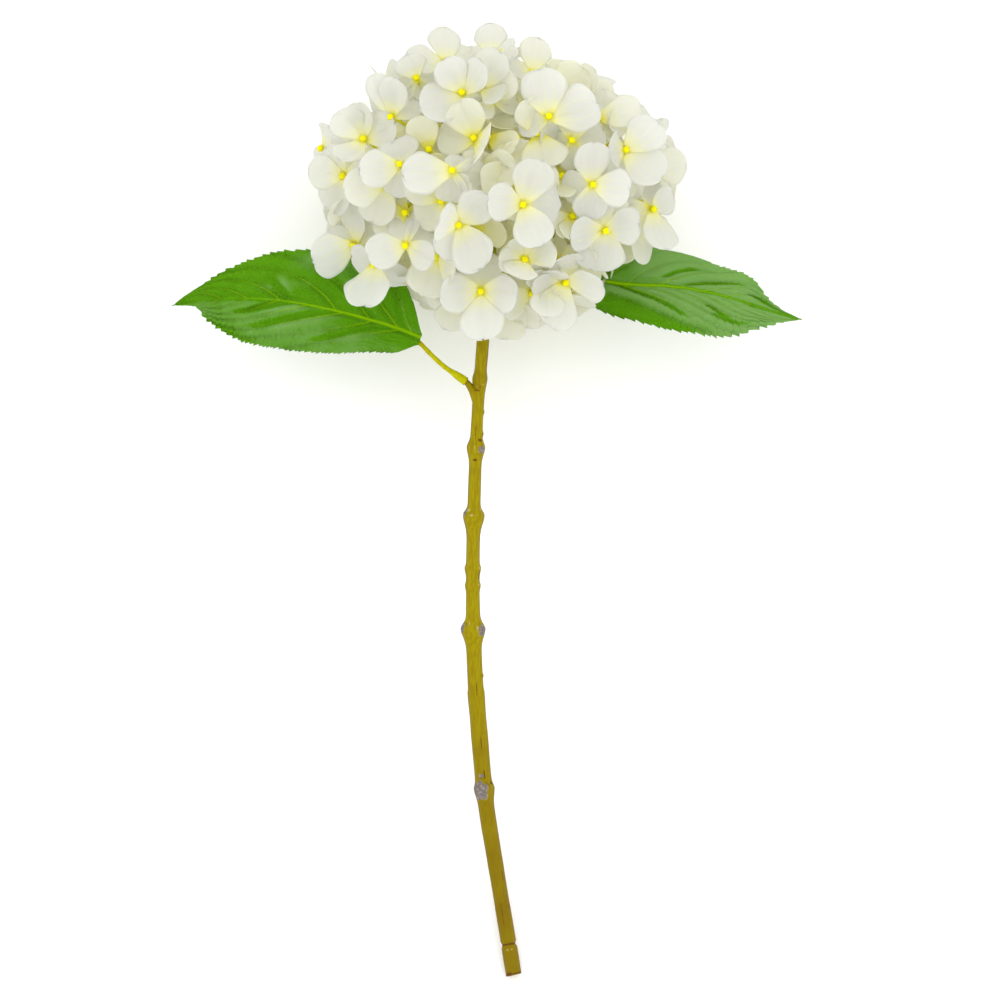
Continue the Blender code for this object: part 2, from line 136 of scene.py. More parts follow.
class Graph:
    """The node graph of one material."""

    def __init__(self, name: str) -> None:
        """Starts a material with a Principled shader and nothing else.

        Args:
            name: The material's name.
        """
        self.material = bpy.data.materials.new(name)
        self.material.use_nodes = True
        self.tree = self.material.node_tree
        self.tree.nodes.clear()
        self.output = self.tree.nodes.new("ShaderNodeOutputMaterial")
        self.shader = self.tree.nodes.new("ShaderNodeBsdfPrincipled")
        self.tree.links.new(self.shader.outputs[0], self.output.inputs["Surface"])

    def node(self, kind: str, settings: dict[str, Any], inputs: dict[Any, Any], output: Any = 0) -> Sock:
        """Makes a node.

        Args:
            kind: The node's type.
            settings: Its properties, set first.
            inputs: The values or links of its sockets, by name or index.
            output: The name or index of the output to return.

        Returns:
            The chosen output.
        """
        made = self.tree.nodes.new(kind)
        for key, value in settings.items():
            setattr(made, key, value)
        for key, value in inputs.items():
            self.feed(made.inputs[key], value)
        return Sock(self, made.outputs[output])

    def feed(self, socket: bpy.types.NodeSocket, value: Any) -> None:
        """Sets or links one input.

        Args:
            socket: The input.
            value: A Sock, a number or a tuple.
        """
        if isinstance(value, Sock):
            self.tree.links.new(value.socket, socket)
        elif socket.type == "RGBA" and len(value) == 3:
            socket.default_value = (*value, 1.0)
        else:
            socket.default_value = value

    def attribute(self, name: str) -> Sock:
        """The value that a mesh stores at its points under a name."""
        return self.node("ShaderNodeAttribute", {"attribute_name": name}, {}, "Fac")

    def place(self) -> Sock:
        """The place on the object, in metres."""
        return self.node("ShaderNodeTexCoord", {}, {}, "Object")

    def noise(self, scale: float, detail: float = 2.0, place: Sock | None = None) -> Sock:
        """Cloudy noise.

        Args:
            scale: How many clouds there are to the metre.
            detail: How many finer layers it has.
            place: Where it is read, or None for the place on the object.

        Returns:
            A value about 0.5.
        """
        where = place or self.place()
        return self.node("ShaderNodeTexNoise", {}, {"Vector": where, "Scale": scale, "Detail": detail}, 0)

    def mix(self, share: Any, first: Any, second: Any) -> Sock:
        """Mixes two colours.

        Args:
            share: How much of the second there is.
            first: The colour at 0.
            second: The colour at 1.

        Returns:
            The mixed colour.
        """
        settings = {"data_type": "RGBA"}
        return self.node("ShaderNodeMix", settings, {0: share, 6: first, 7: second}, 2)

    def set(self, **values: Any) -> None:
        """Sets or links the Principled shader's inputs, named with _ for a space."""
        for key, value in values.items():
            self.feed(self.shader.inputs[key.replace("_", " ")], value)

    def bump(self, height: Sock, distance: float, strength: float) -> None:
        """Feeds the shader's normal from a height.

        Args:
            height: The height, about 0 to 1.
            distance: How high 1 is, in metres.
            strength: How strongly it shows.
        """
        inputs = {"Height": height, "Distance": distance, "Strength": strength}
        self.feed(self.shader.inputs["Normal"], self.node("ShaderNodeBump", {}, inputs))

    def through(self, colour: Colour, share: float) -> None:
        """Lets some light through, as thin cloth does.

        Args:
            colour: The colour of the light that comes through.
            share: How much of the surface's answer it is.
        """
        thin = self.node("ShaderNodeBsdfTranslucent", {}, {"Color": colour})
        mixed = self.node("ShaderNodeMixShader", {}, {0: share, 1: Sock(self, self.shader.outputs[0]), 2: thin})
        self.feed(self.output.inputs["Surface"], mixed)


# ---------------------------------------------------------------- finishes


@dataclass(frozen=True)
class SepalCloth:
    """Thin woven cloth, cream-white, with a yellow middle and faint veins. Deep in the head it is painted creamier and
    lighter: painted light for the light bounced between sepals and let through them.
    """

    white: Colour = (0.775, 0.785, 0.800)
    painted_glow_white: Colour = (0.98, 0.97, 0.72)
    cream: Colour = (0.93, 0.915, 0.52)
    yellow: Colour = (0.93, 0.87, 0.05)
    light_through: Colour = (0.965, 0.965, 0.885)
    share_through: float = 0.55

    def build(self) -> bpy.types.Material:
        """Makes the material.

        Returns:
            The material, which reads the mesh's along, across and tone values.
        """
        graph = Graph("sepal_cloth")
        along, across, tone = (graph.attribute(name) for name in ("along", "across", "tone"))
        cloud = graph.noise(260.0)
        # Deep florets are painted creamier and lighter, and their yellow middle reaches further out: painted light for
        # the light bounced between the sepals and let through them.
        reach = along + (cloud - 0.5) * 0.20 - tone * 0.24
        outer = graph.mix(tone, self.white, self.painted_glow_white)
        colour = graph.mix(reach.ramp(0.03, 0.17), self.yellow, self.cream)
        colour = graph.mix(reach.ramp(0.06, 0.50), colour, outer)
        fan = graph.node("ShaderNodeMath", {"operation": "SINE"}, {0: across * 15.0 + cloud * 3.0})
        veins = fan.ramp(0.75, 1.0) * (1.0 - along.ramp(0.55, 1.0))
        colour = graph.mix(veins * 0.30, colour, self.cream)
        graph.set(Base_Color=colour, Roughness=0.75, Specular_IOR_Level=0.15)
        height = veins * 0.6 + graph.noise(900.0) * 0.6 + weave(graph, 420.0) * 0.14
        graph.bump(height, 0.00022, 0.6)
        graph.through(self.light_through, self.share_through)
        return graph.material


def weave(graph: Graph, scale: float) -> Sock:
    """The height of woven threads.

    Args:
        graph: The material's graph.
        scale: How fine the threads are.

    Returns:
        The height, from 0 to 2.
    """
    threads = []
    for direction in ("X", "Y"):
        wave = graph.node("ShaderNodeTexWave", {"bands_direction": direction}, {"Scale": scale, "Distortion": 0.7})
        threads.append(graph.node("ShaderNodeRGBToBW", {}, {0: wave}))
    return threads[0] + threads[1]


@dataclass(frozen=True)
class BranchPlastic:
    """Moulded branch: olive at its stalk, yellower to its pins, and bright yellow at the beads."""

    bead: Colour = (0.80, 0.735, 0.0)
    pin: Colour = (0.80, 0.76, 0.03)
    stalk: Colour = (0.42, 0.44, 0.02)

    def build(self) -> bpy.types.Material:
        """Makes the material.

        Returns:
            The material, which reads the mesh's along value: 0 at the stalk and 1 at the bead.
        """
        graph = Graph("branch_plastic")
        along = graph.attribute("along")
        cloud = graph.noise(300.0)
        colour = graph.mix((along + (cloud - 0.5) * 0.3).ramp(0.1, 0.8), self.stalk, self.pin)
        colour = graph.mix(along.ramp(0.93, 0.97), colour, self.bead)
        graph.set(Base_Color=colour, Roughness=cloud * 0.2 + 0.42, Specular_IOR_Level=0.12)
        graph.bump(graph.noise(700.0), 0.0001, 0.5)
        return graph.material


@dataclass(frozen=True)
class StemPlastic:
    """Moulded stem: olive-yellow, with brown streaks drawn out along it, stains, grey scars, painted highlights as pale
    spots, and painted shade as brown bands along its two sides.
    """

    name: str = "stem_plastic"
    base: Colour = (0.262, 0.200, 0.0)
    light: Colour = (0.320, 0.262, 0.0)
    brown: Colour = (0.120, 0.050, 0.003)
    umber: Colour = (0.190, 0.125, 0.001)
    scar: Colour = (0.165, 0.140, 0.135)
    dust: Colour = (0.330, 0.290, 0.215)
    pale: Colour = (0.560, 0.500, 0.200)
    drawn_out: tuple[float, float, float] = (1.0, 0.07, 1.0)

    def build(self) -> bpy.types.Material:
        """Makes the material.

        Returns:
            The material, which reads the mesh's scar, stain, pale, seam and age values.
        """
        graph = Graph(self.name)
        scar, stain, pale, seam, age = (graph.attribute(name) for name in ("scar", "stain", "pale", "seam", "age"))
        streaks = graph.noise(850.0, 3.0, graph.place() * self.drawn_out)
        blotches = graph.noise(70.0, 3.0)
        speckle = graph.noise(650.0, 4.0)
        colour = graph.mix(streaks.ramp(0.40, 0.62), self.base, self.light)
        shaded = streaks.ramp(0.60, 0.72) * 0.5 + blotches.ramp(0.55, 0.70) * 0.30
        colour = graph.mix(shaded.clamped(), colour, self.umber)
        colour = graph.mix((age * 0.85 * (blotches + 0.5)).clamped(), colour, self.umber)
        # The broad umber bands round the two moulding seams are painted shade on the stem's sides, which turn away from
        # the view; streak noise breaks them up.
        colour = graph.mix((seam * 0.9 + (streaks - 0.5) * 0.9).ramp(0.15, 0.95), colour, self.umber)
        colour = graph.mix((stain + (speckle - 0.5) * 0.8).ramp(0.30, 0.85), colour, self.brown)
        # Pale spots on the joints, the tops of buds and the footward rims of scars are painted highlights; the cut ends
        # are also paler in the middle.
        colour = graph.mix((pale + (speckle - 0.5) * 0.6).ramp(0.30, 1.00) * 0.6, colour, self.pale)
        scarred = graph.mix(speckle.ramp(0.45, 0.72), self.scar, self.dust)
        colour = graph.mix((scar + (speckle - 0.5) * 0.5).ramp(0.35, 0.65), colour, scarred)
        rough = (streaks * 0.2 + 0.36 + scar * 0.35).clamped()
        graph.set(Base_Color=colour, Roughness=rough, Specular_IOR_Level=0.07)
        graph.bump(streaks * 0.6 + speckle * (scar * 1.8 + 0.15), 0.00032, 0.8)
        return graph.material


@dataclass(frozen=True)
class LeafCloth:
    """Embossed, printed cloth: deep green with a grey-green bloom that is partly painted sheen, yellow-green veins and
    a fine net of veinlets.
    """

    deep: Colour = (0.068, 0.230, 0.0)
    fresh: Colour = (0.100, 0.335, 0.0)
    bloom: Colour = (0.245, 0.470, 0.130)
    net: Colour = (0.190, 0.440, 0.030)
    vein: Colour = (0.300, 0.600, 0.0)
    light_through: Colour = (0.15, 0.50, 0.0)
    share_through: float = 0.10

    def build(self) -> bpy.types.Material:
        """Makes the material.

        Returns:
            The material, which reads the mesh's vein, bloom and pillow values.
        """
        graph = Graph("leaf_cloth")
        vein, bloom, pillow = (graph.attribute(name) for name in ("vein", "bloom", "pillow"))
        cloud = graph.noise(85.0, 3.0)
        mottle = graph.noise(1100.0, 2.0)
        # The hollows beside the veins, between the pillows, are painted a deeper green as painted shade; the clouds and
        # mottle vary the green at random.
        colour = graph.mix((cloud * 0.7 + pillow * 0.5 + (mottle - 0.5) * 0.5).ramp(0.30, 0.85), self.deep, self.fresh)
        # The grey-green bloom is partly the cloth's own dusting and partly painted sheen.
        dusting = (bloom + (cloud - 0.5) * 0.7 + (mottle - 0.5) * 0.45).ramp(0.20, 1.00)
        colour = graph.mix(dusting * 0.9, colour, self.bloom)
        cells = graph.node("ShaderNodeTexVoronoi", {"feature": "DISTANCE_TO_EDGE"},
                           {"Vector": graph.place(), "Scale": 560.0, "Randomness": 0.95}, "Distance")
        lines = (1.0 - cells.ramp(0.0, 0.16)) * (0.35 + mottle * 0.5)
        colour = graph.mix((lines * 0.62).clamped(), colour, self.net)
        broken = vein * (0.62 + mottle * 0.6)
        colour = graph.mix(broken.ramp(0.15, 1.05), colour, self.vein)
        graph.set(Base_Color=colour, Roughness=cloud * 0.15 + 0.60, Specular_IOR_Level=0.06)
        graph.bump(lines * 0.6 + weave(graph, 340.0) * 0.30 + vein * 0.8, 0.00025, 0.8)
        graph.through(self.light_through, self.share_through)
        return graph.material


@dataclass(frozen=True)
class PlainFloor:
    """A pale matt surface."""

    colour: Colour = (0.99, 0.99, 0.99)

    def build(self) -> bpy.types.Material:
        """Makes the material.

        Returns:
            The material, which is the same all over.
        """
        graph = Graph("pale_floor")
        graph.set(Base_Color=self.colour, Roughness=0.9, Specular_IOR_Level=0.1)
        return graph.material


# ---------------------------------------------------------------- meshes


class MeshBuilder:
    """Gathers patches and tubes into one mesh, with values stored at its points. Lengths are in millimetres."""

    def __init__(self) -> None:
        """Starts an empty mesh."""
        self.points: list[Array] = []
        self.faces: list[tuple[int, ...]] = []
        self.values: dict[str, list[Array]] = {}
        self.count = 0

    def grid(self, points: Array, values: dict[str, Array], wrap: bool = False, caps: bool = False) -> None:
        """Adds a grid of quads.

        Args:
            points: The points, of shape (rows, columns, 3).
            values: What is stored at the points, each of shape (rows, columns).
            wrap: Whether the last column joins the first.
            caps: Whether a wrapped grid's first and last rows are closed.
        """
        rows, columns = points.shape[:2]
        index = np.arange(rows * columns).reshape(rows, columns) + self.count
        last = columns if wrap else columns - 1
        for i in range(rows - 1):
            for j in range(last):
                k = (j + 1) % columns
                self.faces.append((index[i, j], index[i, k], index[i + 1, k], index[i + 1, j]))
        if caps:
            self.faces.append(tuple(index[0, ::-1]))
            self.faces.append(tuple(index[-1]))
        self.points.append(points.reshape(-1, 3))
        for name in sorted(set(self.values) | set(values)):
            stored = self.values.setdefault(name, [np.zeros(self.count)] if self.count else [])
            stored.append(np.broadcast_to(values.get(name, 0.0), (rows, columns)).reshape(-1).astype(float))
        self.count += rows * columns

    def tube(self, line: Array, radii: Array, sides: int, values: dict[str, Array]) -> None:
        """Adds a closed round tube.

        Args:
            line: Its middle, of shape (n, 3).
            radii: Its radius at each point of the line.
            sides: How many sides it has.
            values: What is stored along it, each of shape (n,).
        """
        way = np.gradient(line, axis=0)
        way /= np.linalg.norm(way, axis=1)[:, None]
        side = np.cross(way[0], [0.31, 0.52, 0.79])
        turns = np.linspace(0.0, 2 * math.pi, sides, endpoint=False)
        rings = np.empty((len(line), sides, 3))
        for k, (centre, forward) in enumerate(zip(line, way)):
            side = side - side.dot(forward) * forward
            side /= np.linalg.norm(side)
            up = np.cross(forward, side)
            rings[k] = centre + radii[k] * (np.cos(turns)[:, None] * side + np.sin(turns)[:, None] * up)
        spread = {name: np.repeat(np.asarray(v)[:, None], sides, axis=1) for name, v in values.items()}
        self.grid(rings, spread, wrap=True, caps=True)

    def make(self, name: str, material: bpy.types.Material) -> bpy.types.Object:
        """Makes the object, shaded smooth.

        Args:
            name: The piece's name.
            material: Its finish.

        Returns:
            The new object, in the scene.
        """
        mesh = bpy.data.meshes.new(name)
        points = np.concatenate(self.points) * MM
        mesh.from_pydata(points.tolist(), [], [tuple(int(i) for i in face) for face in self.faces])
        for key, parts in self.values.items():
            layer = mesh.attributes.new(key, "FLOAT", "POINT")
            layer.data.foreach_set("value", np.concatenate(parts).astype(np.float32))
        mesh.polygons.foreach_set("use_smooth", [True] * len(mesh.polygons))
        mesh.materials.append(material)
        mesh.update()
        made = bpy.data.objects.new(name, mesh)
        bpy.context.scene.collection.objects.link(made)
        return made


def thicken(obj: bpy.types.Object, thickness: float) -> None:
    """Gives a sheet its thickness.

    Args:
        obj: The sheet.
        thickness: In millimetres, behind its front.
    """
    solid = obj.modifiers.new("thickness", "SOLIDIFY")
    solid.thickness = thickness * MM
    solid.offset = -1.0


def bezier(start: Array, first: Array, second: Array, end: Array, count: int) -> Array:
    """A curve with two handles.

    Args:
        start: Its first point.
        first: The first handle.
        second: The second handle.
        end: Its last point.
        count: How many points it has.

    Returns:
        The points, of shape (count, 3).
    """
    t = np.linspace(0.0, 1.0, count)[:, None]
    return ((1 - t) ** 3 * start + 3 * (1 - t) ** 2 * t * first + 3 * (1 - t) * t**2 * second + t**3 * end)


def catmull(points: Array, steps: int) -> Array:
    """A smooth curve through points.

    Args:
        points: The points, of shape (n, 3).
        steps: How many steps there are between two points.

    Returns:
        The curve's points.
    """
    padded = np.vstack([2 * points[0] - points[1], points, 2 * points[-1] - points[-2]])
    line = []
    for a, b, c, d in zip(padded, padded[1:], padded[2:], padded[3:]):
        for t in np.arange(steps) / steps:
            line.append(0.5 * (2 * b + (c - a) * t + (2 * a - 5 * b + 4 * c - d) * t**2
                               + (3 * b - a - 3 * c + d) * t**3))
    return np.array(line + [points[-1]])


# ---------------------------------------------------------------- where things are


@dataclass(frozen=True)
class Plant:
    """The plant's own frame: X across, Y along the stem to the head, Z to the side that faces up."""

    head_centre: tuple[float, float, float] = (6.926, 172.602, 76.0)
    pitch: float = math.radians(9.472)
    dome: tuple[float, float, float] = (95.0, 79.0, 86.0)
    hub: tuple[float, float, float] = (-4.5, -30.0, 0.0)

    def turn(self) -> Array:
        """The rotation from the plant's frame to the world's."""
        return np.array(Matrix.Rotation(self.pitch, 3, "X"))

    def to_world(self, points: Array) -> Array:
        """Carries points from the plant's frame to the world's, in millimetres."""
        return np.asarray(points) @ self.turn().T + np.array(self.head_centre)

    def to_plant(self, points: Array) -> Array:
        """Carries points from the world's frame to the plant's, in millimetres."""
        return (np.asarray(points) - np.array(self.head_centre)) @ self.turn()


Spread = tuple[tuple[float, ...], ...]

# Where each sepal's tip lies from its floret's bead: across, along and up, in millimetres in the plant's frame, and
# then how wide it is beside a usual one. First the florets that have a solid, and then fillers, by their beads' places.
OWN_SPREADS: dict[str, Spread] = {
    "floret_05": ((-22, -3, 9), (1, -27, 2), (20, -3, 13), (2, 21, -11)),
    "floret_06": ((-11, 1, 20, 1.15), (16, 16, 7), (12, -25, 2), (-7, -20, -6)),
    "floret_07": ((-19, 2, 14), (10, 24, 2), (10, -23, 3), (21, -1, -12)),
    "floret_08": ((-21, -6, 3), (-2, 17, -13), (14, -10, 9), (13, 10, -11)),
    "floret_09": ((-7, 23, 2), (-4, -24, -10, 1.2), (-19, -4, 11), (20, 4, -9)),
    "floret_10": ((1, 23, 6), (21, -3, 8), (-17, -2, -10), (-1, -20, -10)),
    "floret_11": ((19, 15, 7), (-7, 0, 19, 1.1), (21, -15, 2, 1.05), (-2, -21, -5)),
    "floret_12": ((-2, 23, 6, 0.8), (-16, 6, -10, 0.9), (-24, -10, 3), (14, 15, 8, 0.8), (15, -13, -2)),
    "floret_13": ((-23, -4, 5), (-3, 15, -13, 1.25), (17, -8, -7), (-4, -18, -8)),
    "floret_14": ((-28, -2, 2, 0.95), (-1, -18, -9), (18, -5, -12), (5, 8, -13, 0.8)),
    "floret_15": ((-20, 10, 2, 0.9), (-13, -13, -12), (14, 11, 13, 0.9), (8, -16, -9)),
    "floret_16": ((-4, 27, 2), (28, 8, 2), (5, -14, -13), (-18, -4, -8)),
    "floret_17": ((-10, 19, 6), (11, 18, 10, 0.9), (-23, -8, 6, 1.05), (9, -13, -12)),
    "floret_18": ((-9, 20, 8, 1.05), (-20, 2, -13), (4, -4, 21, 1.3), (-3, -16, -2, 0.7)),
    "floret_19": ((21, -4, 9), (-6, -26, 5), (2, 15, 16), (-18, -4, 9, 0.8)),
    "floret_20": ((-8, -23, -9, 1.05), (10, -10, 16, 1.1), (-13, 12, -10), (9, 12, -13)),
    "floret_21": ((18, 8, -13), (2, 20, -8), (-15, -6, -12), (4, -16, -10)),
    "floret_22": ((-4, -10, 14, 1.1), (15, 9, 13, 1.1), (-2, 13, 13), (-14, -1, 11, 0.8)),
    "floret_23": ((24, 7, 5, 0.8), (4, 17, -13, 0.9), (15, -7, -12), (-12, 3, -13), (-5, -11, -13)),
    "floret_24": ((-22, -9, 8, 1.05), (9, -23, 8, 0.9), (13, 8, -13, 0.9), (-2, 18, -13)),
    "floret_25": ((-22, -4, 9), (-8, -22, -6), (10, -12, -9), (-8, 15, -10)),
    "floret_26": ((-7, 18, 11, 0.9), (9, -2, -13, 0.9), (-14, -1, -11), (3, -15, -9)),
    "floret_27": ((-2, 19.5, 8), (-22, 4, 5), (15, 7, -11), (-3, -15, -9)),
    "floret_28": ((1, 16.5, 9), (14, -1, 11, 0.9), (-13, -3, -12), (1, -15, -4)),
    "floret_29": ((2, 20, 7, 0.95), (-14, 5, 14, 0.8), (15, -4, -13), (-3, -15, -10)),
    "floret_30": ((17, 13, 8, 1.1), (5, 18, -8, 0.9), (24, -3, -2), (-5, -12, -12)),
    "floret_31": ((1, 21, 8, 0.85), (-10, 24, 2, 0.7), (15, 10, -8), (-14, -8, -12)),
    "floret_32": ((-15, 14, 10, 0.95), (-4, 20, 7, 0.8), (16, 9, 15, 0.95), (-14, -11, 13, 0.9)),
    "floret_33": ((-19, 3, 9), (-8, -20, -9), (-11, 15, -6, 0.9), (15, 3, 15, 0.9)),
    "floret_34": ((19, 1, 8, 1.1), (3, -18, -12), (-8, 9, -13), (9, 12, -13)),
    "floret_35": ((1, -20, -13), (-16, -10, 11, 0.9), (15, -4, 12, 0.8), (-7, 17, -8)),
    "floret_38": ((-17, 6, -6), (13, -12, -8), (-4, -10, -18, 0.9), (6, 3, -20, 0.9)),
    "floret_39": ((-18, 2, -8), (18, 2, -8), (1, 10, -16, 0.9), (-1, -10, -16, 0.9)),
    "floret_40": ((17, 6, -6), (-13, -12, -8), (4, -10, -18, 0.9), (-6, 3, -20, 0.9)),
}
FILLER_SPREADS: dict[tuple[float, float, float], Spread] = {
    (-10, 51, 62): ((10, 21, 6, 0.95), (12, -4, 10, 0.9), (-4, 16, -11), (-6, -12, -9)),
    (-4, 45, 60): ((15, 0, -13, 1.1), (13, 12, 10, 0.8), (5, -15, -12), (-7, -10, 13, 0.7)),
    (-6, 24, 60): ((15, -5, 12, 0.9), (9, 17, -11, 1.1), (2, -12, -11), (-10, 6, -7)),
    (21, 26, 66): ((-6, 19, 10, 0.9), (6, -19, 10, 1.3), (-14, -3, -11), (15, 3, -10)),
    (-51, -17, 52): ((-19, -7, -8, 1.1), (-13, 13, -8), (-2, -17, -10), (16, -1, -11)),
    (-13, 3, 70): ((22, 4, 9, 1.05), (4, -16, -7), (-9, -6, -9), (3, 14, -2)),
    (10, -32, 58): ((-11, 7, -13), (19, -3, -11, 1.1), (-1, -12, -10), (7, 13, -10)),
    (26, -56, 50): ((-3, 12, 18), (1, -19, 15, 0.9), (-9, 4, 12, 0.7), (8, 6, 15, 0.8)),
    (34, -44, 46): ((18, 6, 12, 0.9), (-12, 0, -13), (3, 12, -13), (6, -15, -12)),
    (10, 23, 64): ((-5, -16, 11), (7, -13, -7), (-9, 12, -13), (13, 1, -10)),
    (70, 4, 44): ((3, -16, -8), (10, -9, -12), (-13, 3, -12), (5, 14, -5)),
    (-68, -45, 38): ((-7, -23, 10, 1.1), (17, -11, -9, 0.9), (-14, 3, -10), (9, 15, -3)),
    (79, -22, 22): ((-1, -23, 6, 0.75), (12, -9, -10), (-14, -8, -8), (10, 14, -5)),
    (-24, -65, 34): ((-5, -16, 10), (-16, 2, -8), (14, -7, -5), (3, 16, -7)),
    (4, -67, 28): ((-1, -20, 10, 1.1), (18, -10, 9, 0.9), (-11, 8, -9), (8, 13, -5)),
    (49, -44, 30): ((9, -4, 10, 1.2), (-2, -15, -9), (-12, 3, -10), (7, 12, -8)),
    (62, -4, 50): ((-18, -6, -8, 0.9), (4, -13, 2, 0.8), (12, 6, -9), (-3, 16, -6)),
    (-63, 51, 34): ((-7, 10, 16, 0.9), (8, 13, 9, 0.9), (-7, -11, -12), (12, -3, -11)),
    (-45, 56, 48): ((-6, 12, 12), (12, 4, -13), (-11, -8, -12), (3, -16, -11)),
    (-81, -15, 18): ((-12, -3, 13), (-6, 13, -11), (11, -6, -13), (-1, -13, -9)),
    (-97, 18, 6): ((3, 12, 13, 0.9), (-2, -11, -13), (14, 6, -9), (12, -6, -12)),
    (45, 50, 36): ((8, 10, 13), (18, -2, -3), (-10, 7, -11), (0, -13, -12)),
    (73, 30, 40): ((-12, 4, 13, 0.9), (10, 6, -13), (4, -13, -8), (-6, 15, -8)),
    (34, 3, 60): ((1, -11, 14, 0.9), (-11, 0, -12), (11, 9, -8), (1, 13, -9)),
    (40, -19, 58): ((1, -13, 12, 0.9), (-9, -8, 11, 0.8), (10, 6, -11), (-7, 11, -10)),
}


@dataclass
class Seat:
    """Where a floret sits, in the plant's frame and in millimetres."""

    centre: Array
    facing: Array
    way: Array
    size: float = 22.0
    node: str = ""
    spread: Spread = ()


def seat_of(name: str, node: bpy.types.Object, plant: Plant) -> Seat:
    """Reads a floret's seat from its solid.

    Args:
        name: The node's name.
        node: The node's object.
        plant: The plant's frame.

    Returns:
        The seat.
    """
    flat = np.empty(len(node.data.vertices) * 3)
    node.data.vertices.foreach_get("co", flat)
    points = plant.to_plant(flat.reshape(-1, 3) / MM)
    middle = points.mean(axis=0)
    facing = np.linalg.svd(points - middle, full_matrices=False)[2][2]
    radius = np.linalg.norm(np.cross(points - middle, facing), axis=1)
    inner, outer = points[radius < 2.5], points[radius > 15.0]
    if (outer.mean(axis=0) - inner.mean(axis=0)).dot(facing) < 0:
        facing = -facing
    tip = points[radius.argmax()] - middle
    way = tip - tip.dot(facing) * facing
    way = way / np.linalg.norm(way)
    return Seat(inner.mean(axis=0) + 0.25 * facing, facing, way, float(radius.max()), name, OWN_SPREADS.get(name, ()))


# ---------------------------------------------------------------- florets


